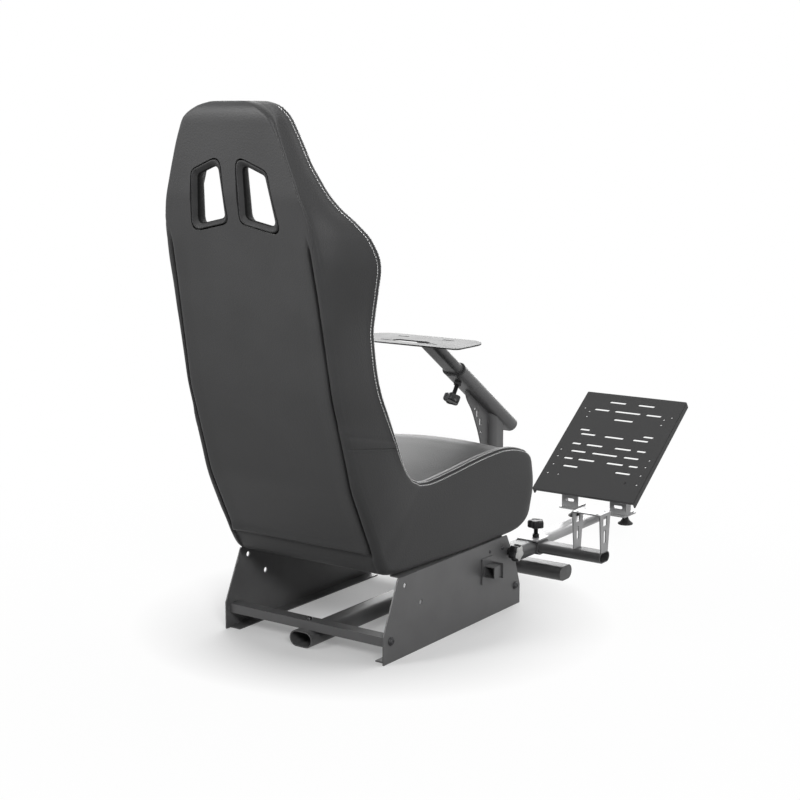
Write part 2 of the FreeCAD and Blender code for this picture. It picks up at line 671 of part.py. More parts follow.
def back_y(z):
    """Rear face of the seat at a height."""
    line = BACK_LINE
    for (z0, y0), (z1, y1) in zip(line, line[1:]):
        if z <= z1:
            return y0 + (y1 - y0) * (z - z0) / (z1 - z0)
    return line[-1][1]


def back_wire(z, rear, front, depth, cushion):
    """Closed seat-back section at a height: flat rear, rounded wings, hollow front."""
    y = back_y(z)
    r = 16.0
    tip = min(17.0, 0.28 * depth)
    well = front - 2 * tip - 0.55 * (depth - cushion) - 10.0
    right = [
        Part.Arc(V(rear - r, y, z), V(rear - 0.29 * r, y + 0.29 * r, z), V(rear, y + r, z)).toShape(),
        Part.makeLine(V(rear, y + r, z), V(front, y + depth - tip, z)),
        Part.Arc(V(front, y + depth - tip, z), V(front - tip, y + depth, z),
                 V(front - 2 * tip, y + depth - tip, z)).toShape(),
        Part.makeLine(V(front - 2 * tip, y + depth - tip, z), V(well, y + cushion, z)),
        Part.makeLine(V(well, y + cushion, z), V(-well, y + cushion, z)),
        Part.makeLine(V(-well, y + cushion, z), V(-front + 2 * tip, y + depth - tip, z)),
        Part.Arc(V(-front + 2 * tip, y + depth - tip, z), V(-front + tip, y + depth, z),
                 V(-front, y + depth - tip, z)).toShape(),
        Part.makeLine(V(-front, y + depth - tip, z), V(-rear, y + r, z)),
        Part.Arc(V(-rear, y + r, z), V(-rear + 0.29 * r, y + 0.29 * r, z), V(-rear + r, y, z)).toShape(),
        Part.makeLine(V(-rear + r, y, z), V(rear - r, y, z)),
    ]
    return Part.Wire(right)


def back_loft():
    return Part.makeLoft([back_wire(*row) for row in BACK_SECTIONS], True, False)


def base_wire(z, half):
    """Rear half of a seat-base section at a height: rounded rear corners, square front."""
    y = back_y(z)
    r = SEAT_REAR_R
    k = r * (1 - math.sqrt(0.5))
    side = SEAT_HALF
    join = BASE_JOIN_Y
    edges = [
        Part.Arc(V(half - r, y, z), V(half - k, y + k, z), V(half, y + r, z)).toShape(),
        Part.makeLine(V(half, y + r, z), V(side, join, z)),
        Part.makeLine(V(side, join, z), V(-side, join, z)),
        Part.makeLine(V(-side, join, z), V(-half, y + r, z)),
        Part.Arc(V(-half, y + r, z), V(-half + k, y + k, z), V(-half + r, y, z)).toShape(),
        Part.makeLine(V(-half + r, y, z), V(half - r, y, z)),
    ]
    return Part.Wire(edges)


def seat_nose():
    """Front half of the seat base: side profile with rounded front corners."""
    curve = Part.BSplineCurve()
    curve.interpolate([V(-SEAT_HALF, y, z) for y, z in BASE_LINE])
    top = V(-SEAT_HALF, BASE_JOIN_Y, SEAT_SPLIT_Z)
    low = V(-SEAT_HALF, BASE_JOIN_Y, PLATE_TOP)
    end = V(-SEAT_HALF, BASE_LINE[-1][0], PLATE_TOP)
    wire = Part.Wire([curve.toShape(), Part.makeLine(end, low), Part.makeLine(low, top)])
    block = Part.Face(wire).extrude(V(2 * SEAT_HALF, 0, 0))
    plan = box(-SEAT_HALF, SEAT_HALF, 0, SEAT_FRONT_Y + 1.0, 0, 500)
    posts = [e for e in plan.Edges if abs(e.Vertexes[0].Z - e.Vertexes[1].Z) > 100]
    front = [e for e in posts if e.Vertexes[0].Y > SEAT_FRONT_Y]
    return block.common(plan.makeFillet(SEAT_FRONT_R, front))


def seat_well():
    """Space between the bolsters: floor rising from the hip to the front lip."""
    top = 420.0
    flare = SEAT_WELL_HALF + 24.0
    rear = back_y(SEAT_SPLIT_Z) + BACK_SECTIONS[0][4]
    ends = []
    for y, half, z in ((rear, SEAT_WELL_HALF, SEAT_WELL_Z), (SEAT_LIP_Y, SEAT_LIP_HALF, SEAT_LIP_Z)):
        corner = [V(-half, y, z), V(half, y, z), V(flare, y, top), V(-flare, y, top)]
        ends.append(Part.makePolygon(corner + [corner[0]]))
    return Part.makeLoft(ends, True, True)


def seat_base_body():
    rear = Part.makeLoft([base_wire(z, half) for z, half in BASE_SECTIONS], True, True)
    return rear.fuse(seat_nose()).removeSplitter().cut(seat_well())


def panel_zone(grow, fit):
    """Layer behind the rear face, grown sideways for the groove round the panel."""
    front = []
    rear = []
    for z, y in BACK_LINE[2:-1]:
        front.append((z, y + PANEL_T - fit))
        rear.append((z, y - 40.0))
    loop = rear + front[::-1]
    layer = prism([V(-SEAT_HALF, y, z) for z, y in loop], V(2 * SEAT_HALF, 0, 0))
    inset = 18.0 - grow
    top = BACK_LINE[-2][0] - 12.0 + grow
    side = [(row[1] - inset, row[0]) for row in BACK_SECTIONS if row[0] < top]
    low = [(half_w - inset, z) for z, half_w in BASE_SECTIONS if PANEL_LOW_Z < z < SEAT_SPLIT_Z]
    start = [(BASE_SECTIONS[2][1] - inset, PANEL_LOW_Z - grow)]
    outline = start + low + side + [(side[-1][0] - 12.0, top)]
    right = [V(x, -300, z) for x, z in outline]
    left = [V(-x, -300, z) for x, z in outline[::-1]]
    window = prism(right + left, V(0, 420, 0))
    return layer.common(window)


def harness_outline(grow, y):
    """Corners of the right harness opening, grown outwards, at a distance."""
    cx = sum(p[0] for p in HARNESS) / len(HARNESS)
    cz = sum(p[1] for p in HARNESS) / len(HARNESS)
    points = []
    for x, z in HARNESS:
        k = 1 + grow / math.hypot(x - cx, z - cz)
        points.append(V(cx + (x - cx) * k, y, cz + (z - cz) * k))
    return points


def harness_cut(grow):
    return prism(harness_outline(grow, -400), V(0, 600, 0))


def harness_opening():
    """Right opening: straight behind, flared to the front of the cushion."""
    rear = back_y(HARNESS[1][1])
    ends = []
    for y, grow in ((rear, 0.0), (rear + 120.0, 2 * HARNESS_FLARE)):
        corner = harness_outline(grow, y)
        ends.append(Part.makePolygon(corner + [corner[0]]))
    return harness_cut(0.0).fuse(Part.makeLoft(ends, True, True))


def harness_bezel(panel):
    """Right bezel ring seated on the rear face, with a lip into the opening."""
    ring = harness_cut(BEZEL_W).cut(harness_cut(-1.0))
    front = []
    rear = []
    for z, y in BACK_LINE[5:8]:
        front.append((z, y + 2.0))
        rear.append((z, y - BEZEL_T))
    loop = rear + front[::-1]
    layer = prism([V(-200, y, z) for z, y in loop], V(400, 0, 0))
    return ring.common(layer).cut(panel)


def build():
    """All pieces by node name."""
    parts = {}
    plate = side_plate()
    parts["right_side_plate"] = plate
    parts["left_side_plate"] = mirrored(plate)
    parts["rear_cross_bar"] = cross_bar(REAR_BAR_Y)
    parts["front_cross_bar"] = cross_bar(FRONT_BAR_Y)
    parts["base_tube"] = base_tube()
    parts["base_bushing"] = base_bushing()
    stub = outrigger()
    parts["right_outrigger"] = stub
    parts["left_outrigger"] = mirrored(stub)
    cap = outrigger_cap()
    parts["right_outrigger_cap"] = cap
    parts["left_outrigger_cap"] = mirrored(cap)
    parts["column_post"] = column_post()
    parts["column_gusset"] = column_gusset()
    parts["column_tube"] = up_column(hollow(COLUMN_LENGTH), 0)
    cap = end_cap(COLUMN_CAP_T)
    cap.rotate(V(0, 0, 0), V(1, 0, 0), 180)
    parts["column_end_cap"] = up_column(cap, 0)
    parts["column_bushing"] = up_column(bushing(), COLUMN_LENGTH)
    parts["column_knob"] = column_knob()
    parts["wheel_tube"] = wheel_tube()
    parts["wheel_plate"] = wheel_plate()
    parts["pedal_tube"] = pedal_tube()
    parts["pedal_bridge"] = pedal_bridge()
    bracket = pedal_upright()
    parts["right_pedal_upright"] = bracket
    parts["left_pedal_upright"] = mirrored(bracket)
    foot = pedal_foot()
    parts["right_pedal_foot"] = foot
    parts["left_pedal_foot"] = mirrored(foot)
    parts["pedal_plate"] = pedal_plate()
    parts["shifter_support"] = shifter_support()
    parts["shifter_sleeve"] = shifter_sleeve()
    parts["shifter_clamp"] = shifter_clamp()
    parts["shifter_knob"] = shifter_knob()
    parts["shifter_arm"] = shifter_arm()
    parts["shifter_inner_leg"] = stand_leg(STAND_LEFT)
    parts["shifter_outer_leg"] = stand_leg(ARM_END - STAND_T)
    parts["shifter_top_plate"] = stand_top()
    parts["side_socket"] = side_socket()
    parts["side_knob"] = side_knob()
    hole = harness_opening()
    holes = hole.fuse(mirrored(hole))
    whole = back_loft().fuse(seat_base_body())
    panel = whole.common(panel_zone(0.0, SEAT_FIT)).cut(holes)
    parts["back_panel"] = panel
    rest = whole.cut(panel_zone(PANEL_GROOVE, 0.0)).cut(holes)
    low = box(-400, 400, -400, 800, 0, SEAT_SPLIT_Z)
    parts["seat_base"] = rest.common(low)
    forward = box(-400, 400, BASE_LINE[0][0] - 2.0, 800, SEAT_SPLIT_Z, 400)
    parts["seat_base"] = parts["seat_base"].fuse(rest.common(forward)).removeSplitter()
    back = rest.cut(low).cut(forward)
    head = box(-400, 400, -400, 800, HEAD_SPLIT_Z, 1200)
    middle = box(-BOLSTER_SPLIT_X, BOLSTER_SPLIT_X, -400, 800, 0, HEAD_SPLIT_Z)
    outer = box(BOLSTER_SPLIT_X, 400, -400, 800, 0, HEAD_SPLIT_Z)
    parts["seat_head"] = back.common(head)
    parts["seat_back"] = back.common(middle)
    bolster = back.common(outer)
    parts["right_back_bolster"] = bolster
    parts["left_back_bolster"] = mirrored(bolster)
    bezel = harness_bezel(panel)
    parts["right_harness_bezel"] = bezel
    parts["left_harness_bezel"] = mirrored(bezel)
    return parts


def write(parts):
    os.makedirs("parts", exist_ok=True)
    for name, shape in parts.items():
        solid = shape.Solids[0] if len(shape.Solids) == 1 else shape
        out = solid.copy()
        out.translate(V(0, -ORIGIN_Y, 0))
        out.exportStep("parts/" + name + ".step")
        box_ = out.BoundBox
        print(name, len(shape.Solids), shape.isValid(), round(shape.Volume / 1000.0, 1),
              [round(v, 1) for v in (box_.XMin, box_.XMax, box_.YMin, box_.YMax, box_.ZMin, box_.ZMax)])


write(build())
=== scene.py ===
"""Looks of the sim racing cockpit: upholstery, finishes, fasteners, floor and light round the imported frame.

Tables are in millimetres in the seat's own side view: Y from the rear of the side plates, Z from the floor.
"""
import json
import math

import bmesh
import bpy
import numpy as np
from mathutils import Matrix, Vector

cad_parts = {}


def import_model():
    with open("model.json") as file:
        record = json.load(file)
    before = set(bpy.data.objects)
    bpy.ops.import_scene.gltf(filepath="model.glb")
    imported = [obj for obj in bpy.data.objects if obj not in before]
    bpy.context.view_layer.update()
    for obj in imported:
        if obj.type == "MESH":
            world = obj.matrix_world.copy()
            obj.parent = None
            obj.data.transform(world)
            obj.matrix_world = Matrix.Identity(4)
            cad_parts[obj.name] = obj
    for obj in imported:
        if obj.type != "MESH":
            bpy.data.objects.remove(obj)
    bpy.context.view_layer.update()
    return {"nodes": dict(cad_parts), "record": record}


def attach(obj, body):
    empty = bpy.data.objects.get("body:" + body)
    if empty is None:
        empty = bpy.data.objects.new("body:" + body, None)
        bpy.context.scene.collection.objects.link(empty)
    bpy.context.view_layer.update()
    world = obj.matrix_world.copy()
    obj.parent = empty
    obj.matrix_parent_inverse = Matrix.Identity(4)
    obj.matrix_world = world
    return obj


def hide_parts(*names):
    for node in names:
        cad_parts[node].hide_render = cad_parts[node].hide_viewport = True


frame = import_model()

MM = 0.001
ORIGIN_Y = 448.0

# Camera, metres and degrees
CAMERA_AT = (1.963156, -2.905993, 1.062984)
CAMERA_AZIMUTH = 34.984
CAMERA_DOWN = 9.969
CAMERA_ROLL = 0.1
CAMERA_LENS = 72.2886
CAMERA_SENSOR = 36.0
CAMERA_CLIP = 200.0

# Seat's back, head first: height; distance of shell, cushion, bolster edge; rear half, front half, corner
BACK_STATIONS = (
    (1092.0, -201.0, -171.0, -155.0, 50.0, 64.0, 12.0),
    (1087.0, -206.0, -172.0, -151.0, 71.0, 83.0, 14.0),
    (1080.0, -210.0, -172.0, -149.0, 87.0, 96.0, 15.0),
    (1064.0, -212.0, -180.0, -144.0, 107.0, 110.0, 12.0),
    (1040.0, -210.0, -178.5, -138.0, 120.0, 120.0, 11.0),
    (1010.0, -207.4, -176.4, -132.4, 134.0, 132.0, 10.0),
    (980.0, -204.9, -173.9, -127.9, 146.0, 144.0, 9.0),
    (950.0, -202.4, -171.4, -120.4, 157.0, 159.0, 9.0),
    (922.0, -200.0, -168.5, -112.0, 167.0, 174.0, 9.0),
    (900.0, -195.5, -163.0, -99.5, 175.0, 187.0, 9.0),
    (870.0, -189.3, -154.0, -79.3, 183.0, 212.0, 10.0),
    (840.0, -183.1, -138.0, -60.1, 187.0, 229.0, 11.0),
    (800.0, -174.9, -118.0, -42.9, 190.0, 236.0, 12.0),
    (742.0, -163.0, -103.0, -32.0, 191.0, 223.0, 16.0),
    (700.0, -155.4, -95.4, -27.4, 191.0, 213.0, 16.0),
    (660.0, -148.2, -88.2, -22.2, 190.0, 205.0, 16.0),
    (600.0, -137.4, -77.4, -12.4, 190.0, 204.0, 16.0),
    (548.0, -128.0, -68.0, 0.0, 190.0, 206.0, 16.0),
    (500.0, -113.4, -53.4, 19.6, 191.0, 209.0, 16.0),
)
# Hip, in side view: shell, cushion and bolster edge, which rays about the pivot cut
HIP_PIVOT = (200.0, 410.0)
HIP_SHELL = (
    (-113.4, 500.0), (-98.2, 450.0), (-83.1, 400.0), (-70.0, 357.0), (-37.0, 289.0), (-4.0, 221.0),
    (4.0, 203.0), (16.0, 184.0), (34.0, 171.0), (60.0, 166.0), (200.0, 166.0),
)
HIP_CUSHION = (
    (-53.4, 500.0), (-32.2, 450.0), (-5.0, 400.0), (24.0, 357.0), (44.0, 325.0), (62.0, 298.0),
    (86.0, 280.0), (118.0, 275.0), (150.0, 279.0), (200.0, 287.5),
)
HIP_EDGE = (
    (19.6, 500.0), (40.8, 450.0), (66.9, 400.0), (84.0, 377.0), (106.0, 357.0), (134.0, 344.0),
    (165.0, 341.0), (200.0, 343.0),
)
# Each ray: angle below the level, rear half, front half, corner
HIP_STATIONS = (
    (-12.0, 194.0, 211.0, 17.0), (-7.5, 194.5, 210.5, 18.0), (0.0, 195.0, 210.0, 18.0),
    (10.0, 196.0, 208.5, 18.0), (20.0, 198.0, 207.0, 18.0), (30.0, 198.0, 206.0, 18.0),
    (38.0, 197.0, 205.5, 19.0), (46.0, 195.5, 205.0, 20.0), (54.0, 195.5, 205.0, 20.0),
    (64.0, 197.0, 205.0, 18.0), (76.0, 199.0, 205.0, 16.0),
)
# Seat's base to the nose: distance; height of shell, cushion, bolster edge; rear half, front half, corner
BASE_STATIONS = (
    (200.0, 166.0, 287.5, 343.0, 201.0, 205.0, 14.0),
    (260.0, 166.0, 297.5, 348.0, 203.0, 205.0, 12.0),
    (330.0, 166.0, 309.0, 355.0, 204.0, 205.0, 10.0),
    (400.0, 166.0, 321.0, 360.0, 204.0, 205.0, 10.0),
    (440.0, 166.0, 328.0, 361.0, 204.0, 205.0, 10.0),
    (480.0, 166.2, 335.0, 358.0, 204.0, 205.0, 10.0),
    (510.0, 168.0, 339.0, 352.5, 204.0, 205.0, 11.0),
    (532.0, 172.8, 339.0, 346.0, 204.0, 205.0, 12.0),
    (549.0, 180.0, 334.0, 339.5, 203.5, 205.0, 13.0),
    (561.0, 189.0, 326.0, 331.0, 202.0, 204.5, 14.0),
    (570.0, 200.5, 316.5, 321.5, 199.0, 202.0, 15.0),
    (577.0, 216.0, 306.0, 311.5, 194.5, 197.5, 16.0),
    (582.0, 231.0, 296.0, 301.5, 188.0, 192.0, 16.0),
    (585.0, 246.0, 286.0, 291.0, 180.0, 185.0, 13.0),
    (586.5, 259.0, 276.0, 281.0, 168.0, 174.0, 8.0),
)
STATION_DECIMALS = 1
SIDE_SEAM_STATION = len(BACK_STATIONS) + 1
BASE_FIRST_STATION = len(BACK_STATIONS) + len(HIP_STATIONS)

# Half section: rounded tip and corner, the cushion's side, and crowns
EDGE_TIP = 17.0
TIP_SHARE = 0.28
CORNER_SHARE = 0.4
WELL_SLOPE = 0.55
WELL_INSET = 10.0
PANEL_INSET = 8.0
CUSHION_MARGIN = 2.0
BOLSTER_CROWN = 5.0
BOLSTER_FULL_RUN = 60.0
CUSHION_CROWN = 9.0
CROWN_FULL_DEPTH = 120.0
CROWN_SPAN = (260.0, 420.0)
SEAM_FULL_DEPTH = 90.0
# Bulge of the sides: distance along, height
SIDE_CROWN = ((0.0, 2.0), (540.0, 2.0), (1100.0, 5.0), (1500.0, 5.0))
CORNER_POINTS = 8
SIDE_POINTS = 14
TIP_POINTS = 17
BOLSTER_POINTS = 10
CUSHION_POINTS = 14

# Samples between the seams, and the stretch past the panel's seam that has closer ones
PANEL_SAMPLES = 12
KNEE_SAMPLES = 13
SIDE_SAMPLES = 14
BOLSTER_SAMPLES = 14
CUSHION_SAMPLES = 11
KNEE = 46.0
KNEE_SHARE = 0.6
SEAM_STEPS = (-10.0, -6.0, -3.5, -2.2, -1.2, -0.5, 0.0, 0.5, 1.2, 2.2, 3.5, 6.0, 10.0)
ROW_STEP = 7.0
ROW_CLEAR = 11.0
ROW_DECIMALS = 3
HEAD_ROWS = (1.5, 3.5)
NOSE_ROWS = (2.0, 4.5, 9.5)
# Domes on the seat's two ends: share of the end ring, rise
DOME = ((0.9, 0.5), (0.7, 1.0), (0.35, 1.3))
SHARP_ANGLE = 60.0

# Seam on the edge's rounding: distance along, angle round the tip
EDGE_SEAM_TURN = ((0.0, 0.15), (560.0, 0.12), (660.0, 0.3), (760.0, 0.62), (840.0, 0.85), (1500.0, 0.95))
# Panel seam: height, distance from the centre plane
PANEL_SEAM = (
    (221.0, 176.0), (400.0, 175.5), (540.0, 175.0), (604.0, 173.0), (698.0, 170.5), (764.0, 168.3),
    (824.0, 166.0), (1092.0, 166.0),
)
PANEL_LOW_Z = 221.0
# Valley beside the rear shell's corner: height, distance past the corner, depth, width on its outer side
VALLEY = np.array((
    (221.0, 2.0, 1.0, 10.0), (500.0, 0.0, 2.0, 12.0), (700.0, -3.0, 2.8, 16.0), (814.0, -4.5, 6.0, 26.0),
    (880.0, -2.0, 10.0, 40.0), (940.0, -0.5, 10.0, 38.0), (990.0, 0.5, 8.5, 32.0), (1021.0, 3.7, 7.0, 26.0),
    (1039.0, 7.3, 6.0, 22.0), (1058.0, 13.0, 4.5, 18.0), (1074.0, 21.0, 2.5, 14.0), (1092.0, 24.0, 0.5, 10.0),
))
VALLEY_STEEP = 5.0
VALLEY_END = (-40.0, 14.0)
GROOVE_FULL_Z = 815.0
GROOVE_FADE_Z = 856.0
GROOVE_DEPTH = 5.8
GROOVE_STEEP = 1.8
GROOVE_GENTLE = 3.6
GROOVE_END = (2.0, 14.0)
# Folds: height, distance from the seam, width
PANEL_SWELL = ((1.4, -9.0, 6.0),)
EDGE_FOLDS = ((-2.2, 0.0, 1.3), (1.1, 6.0, 4.5), (1.1, -6.0, 4.5))
INNER_FOLDS = ((-4.0, 0.0, 2.6),)
HEM_ROLL = ((3.6, -5.5, 4.2),)
SIDE_TUCK = 23.0
SIDE_FOLDS = ((1.2, -11.0, 7.0), (-0.8, -SIDE_TUCK, 5.0), (-1.5, 0.0, 1.8), (0.5, 3.0, 1.6), (-0.7, 6.5, 1.8))
# Step under the hem, and the spans over which it and the side's folds begin and end
HEM_UNDER = 5.5
HEM_UNDER_IN = (-1.0, 2.0)
HEM_UNDER_OUT = (12.0, 45.0)
HEM_SIDE = (-3.0, 1.0)
SIDE_FROM = (8.0, 26.0)
SIDE_TO = (-9.0, -2.0)
# Flat underside: spans past the hem and past the panel's seam
BASE_FLAT = (30.0, 60.0)
FLAT_EDGE = (0.0, 30.0)

# Stitches beside the edge seam: distance along, distance from the seam; their sizes
STITCH_GAP = ((0.0, 6.0), (600.0, 6.0), (800.0, 4.2), (1500.0, 4.2))
STITCH_PITCH = 6.2
STITCH_LENGTH = 4.8
STITCH_R = 0.75
STITCH_STEP = 3.0
STITCH_AHEAD = 2.0
STITCH_ENDS = (8.0, 10.0)
STITCH_PROFILE = ((-0.5, 0.35), (-0.4, 0.8), (-0.15, 1.0), (0.15, 1.0), (0.4, 0.8), (0.5, 0.35))
STITCH_AROUND = 6
STITCH_RISE = 0.8
STITCH_LIFT = 0.2

# Harness opening on the right side: x, z, and the liner's sizes
HARNESS = ((26.5, 879.5), (94.0, 865.5), (80.0, 958.0), (30.5, 977.5))
HARNESS_R = 11.0
CORNER_GROWTH = 0.6
LINER_W = 11.0
LINER_GAP = 2.4
# Rings of the liner from the shell, then from the cushion's face: growth, distance in
LINER_REAR = (
    (LINER_W, 10.0), (LINER_W, 0.4), (LINER_W - 0.5, -0.8), (LINER_W - 1.6, -1.2), (LINER_W - 3.2, -0.4),
    (1.6, 6.6), (0.4, 8.2), (0.2, 12.0),
)
LINER_FRONT = (
    (5.0, -6.0), (7.5, 0.0), (9.0, 1.0), (12.0, 1.4), (16.0, 1.2), (17.5, 0.3), (17.5, -1.5), (14.0, -4.0),
)
# Rings of the liner's tunnel that get the near-black plastic: painted shade inside the opening
SHADED_TUNNEL_RINGS = (5, 6, 7, 8)
# Rings of the cutter: distance, extra growth
CUTTER_RINGS = ((-320.0, 0.0), (-190.0, 0.0), (-60.0, 6.0))

# Pedal plate, from its low edge: x, distance up, length of each slot; x, distance up of each hole
PEDAL_LOW = (1179.0, 88.0)
PEDAL_TOP = (1482.0, 308.0)
PEDAL_HALF = 150.0
PEDAL_T = 3.0
PEDAL_FLANGE = 20.0
PEDAL_HEM = 8.0
PEDAL_SLOTS = (
    (43.0, 344.0, 49.0), (0.0, 311.5, 77.0), (78.2, 311.5, 45.0), (0.0, 281.0, 57.0), (95.2, 231.8, 29.5),
    (79.0, 216.0, 44.5), (0.0, 215.5, 57.0), (97.2, 178.5, 26.5), (42.6, 178.7, 48.5), (79.0, 151.0, 44.0),
    (0.0, 151.0, 75.0), (97.0, 123.0, 27.0), (42.6, 123.4, 48.6), (78.0, 95.0, 43.6),
)
PEDAL_SLOT_R = 3.5
PEDAL_HOLES = (
    (131.3, 312.0), (112.8, 301.0), (112.4, 281.2), (132.3, 151.2), (131.0, 126.2), (130.2, 95.5),
    (132.2, 62.4), (99.8, 62.4),
)
PEDAL_HOLE_R = 2.6
PIVOT = (1264.0, 112.0)
PIVOT_BORE_R = 5.4
LUG_X = 102.0
LUG_T = 4.0
LUG_R = 12.0
LUG_POINTS = 14
SHEET_EDGE = 0.4
FOLD_LAP = 0.5
FACE_CORNER_R = 3.0
FOLD_CORNER_R = 2.0
FOLD_STEPS = 4

# Bolts on the side plates: outer face, distances and height at the cross bars
PLATE_X = 205.0
BAR_BOLT_Y = (25.0, 500.0)
BAR_BOLT_Z = 44.0
# Small bolts on the right plate: distance, height, size
SMALL_BOLTS = ((392.7, 144.4, 0.4), (444.0, 142.0, 0.62))
# Bolt through the rear cross bar into the base tube: distance, height of the bar's top, size
TUBE_BOLT = (25.0, 53.0, 0.8)
# Button-head bolt and its washer: radius, height, lobe share
BOLT_PROFILE = (
    (9.0, 0.0, 0), (9.0, 1.4, 0), (6.8, 1.6, 0), (6.8, 2.4, 0), (6.2, 4.2, 0), (4.6, 5.4, 0), (2.6, 5.8, 0),
    (2.4, 3.6, 0),
)
BOLT_POINTS = 30

# Star knobs: their sizes, and the seat and stem of each
KNOB_R = 20.0
KNOB_LOBES = 5
KNOB_LOBE_DEPTH = 0.24
KNOB_POINTS = 60
NUT_SIDES = 6
NUT_PROFILE = ((8.0, 0.0, 0), (9.0, 0.8, 0), (9.0, 7.5, 0), (8.0, 8.4, 0), (5.2, 8.6, 0))
CAP_PROFILE = ((17.0, 16.4, 0.95), (17.0, 18.0, 0.95), (15.8, 18.8, 0.9), (6.0, 19.2, 0.2))
COLUMN_SLOPE = 35.0
COLUMN_LOW = (792.3, 340.1)
COLUMN_KNOB_UP = 250.0
COLUMN_KNOB_UNDER = 17.0
COLUMN_STEM = 34.0
SHIFTER_KNOB = (120.0, 735.0, 90.0)
SHIFTER_STEM = 24.0
SIDE_KNOB = (PLATE_X, 470.0, 128.0)
SIDE_STEM = 10.0

# Levelling feet: place, then radius, height, lobe share
FOOT_X = 75.0
FOOT_Y = 1286.0
FOOT_PROFILE = (
    (19.0, 0.0, 0), (20.0, 0.8, 0), (20.0, 3.0, 0), (18.8, 4.2, 0), (14.0, 7.5, 0), (9.5, 13.0, 0),
    (7.0, 20.0, 0), (6.5, 24.0, 0), (5.0, 24.4, 0), (5.0, 29.4, 0),
)

# Tones
SEAT_TONE = (0.029, 0.029, 0.0296)
PANEL_TONE = (0.031, 0.031, 0.0316)
COAT_TONE = (0.105, 0.105, 0.1065)
PEDAL_TONE = (0.012, 0.012, 0.0124)
PALE_TONE = (0.46, 0.46, 0.465)
# Share of the fine grain in the leather's height
FINE_GRAIN = 0.5
# Painted shade in the leather's creases: reach in metres, then how open a place is and the share of its tone
# that it keeps
CREASE_SHADE_REACH = 0.02
CREASE_SHADE_SAMPLES = 6
CREASE_SHADE_SPANS = (0.45, 0.92, 0.12, 1.0)

# Floor and studio in metres; each span is from low, from high, to low, to high
WHITE = (1.0, 1.0, 1.0, 1.0)
FLOOR_SIZE = 30.0
FLOOR_DIM = (0.2, 0.2, 0.2, 1.0)
FLOOR_PALE = (0.86, 0.86, 0.86, 1.0)
FLOOR_SPANS = (0.6, 1.6, 0.96, 1.0)
UNDER_SPANS = (0.3, 0.52, 0.24, 1.0)
# Middle of the darker floor under the part, in millimetres
UNDER_Y = 250.0
# Direction in which the studio is brightest
BRIGHT_SIDE = (0.0, 1.0, 0.0)
STUDIO_SPANS = (-0.4, 0.8, 0.12, 1.0)
# Lamps: name, place, target, size, watts, beam in degrees
LAMPS = (
    ("key", (0.6, 2.2, 3.2), (0.1, 0.2, 0.2), (2.8, 2.8), 36.0, 180.0),
    ("back", (-2.3, 3.8, 1.6), (0.0, 0.2, 0.6), (5.0, 2.8), 165.0, 180.0),
    ("left_fill", (-1.3, -2.6, 1.9), (0.0, -0.65, 1.05), (1.0, 1.0), 5.4, 40.0),
    ("right_fill", (2.2, -2.2, 1.9), (0.22, -0.6, 0.85), (0.8, 0.8), 3.5, 34.0),
)

WELD_DISTANCE = 1e-7
TINY = 1e-6


def place(x, y, z):
    return Vector((x * MM, (y - ORIGIN_Y) * MM, z * MM))


def mesh_object(name, verts, faces):
    mesh = bpy.data.meshes.new(name)
    mesh.from_pydata([tuple(v) for v in verts], [], faces)
    mesh.validate()
    obj = bpy.data.objects.new(name, mesh)
    bpy.context.scene.collection.objects.link(obj)
    face_outward(mesh)
    mesh.polygons.foreach_set("use_smooth", [True] * len(mesh.polygons))
    return obj


def face_outward(mesh):
    bm = bmesh.new()
    bm.from_mesh(mesh)
    bmesh.ops.remove_doubles(bm, verts=bm.verts, dist=WELD_DISTANCE)
    bmesh.ops.recalc_face_normals(bm, faces=bm.faces)
    bm.to_mesh(mesh)
    bm.free()


def applied(obj):
    """Bakes an object's modifiers into its mesh."""
    shown = obj.evaluated_get(bpy.context.evaluated_depsgraph_get())
    mesh = bpy.data.meshes.new_from_object(shown)
    obj.modifiers.clear()
    obj.data = mesh
    return obj


def finish_piece(obj, body, slot, material, *replaced):
    obj.data.materials.clear()
    obj.data.materials.append(material)
    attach(obj, body)
    if replaced:
        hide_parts(*replaced)
    return obj


def loft(name, rings, closed=False):
    """Mesh through rings of equal length; the ends are capped unless the rings close on themselves."""
    count = len(rings[0])
    verts = [p for ring in rings for p in ring]
    faces = []
    last = len(rings) if closed else len(rings) - 1
    for i in range(last):
        a = i * count
        b = ((i + 1) % len(rings)) * count
        for j in range(count):
            k = (j + 1) % count
            faces.append((a + j, a + k, b + k, b + j))
    if not closed:
        faces.append(tuple(range(count))[::-1])
        faces.append(tuple(range((len(rings) - 1) * count, len(rings) * count)))
    return mesh_object(name, verts, faces)


def joined(name, objects):
    """One object from several meshes."""
    bpy.ops.object.select_all(action="DESELECT")
    for obj in objects:
        obj.select_set(True)
    bpy.context.view_layer.objects.active = objects[0]
    bpy.ops.object.join()
    objects[0].name = name
    objects[0].data.name = name
    return objects[0]


# Materials


def node_material(name, rough, specular=0.5, metallic=0.0):
    """Plain material: returns it with its node tree and its shader."""
    mat = bpy.data.materials.new(name)
    mat.use_nodes = True
    tree = mat.node_tree
    shader = tree.nodes["Principled BSDF"]
    shader.inputs["Roughness"].default_value = rough
    shader.inputs["Specular IOR Level"].default_value = specular
    shader.inputs["Metallic"].default_value = metallic
    return mat, tree, shader


def texture(tree, kind, scale, **settings):
    node = tree.nodes.new(kind)
    coords = tree.nodes.new("ShaderNodeTexCoord")
    tree.links.new(coords.outputs["Object"], node.inputs["Vector"])
    node.inputs["Scale"].default_value = scale
    for key, value in settings.items():
        node.inputs[key].default_value = value
    return node


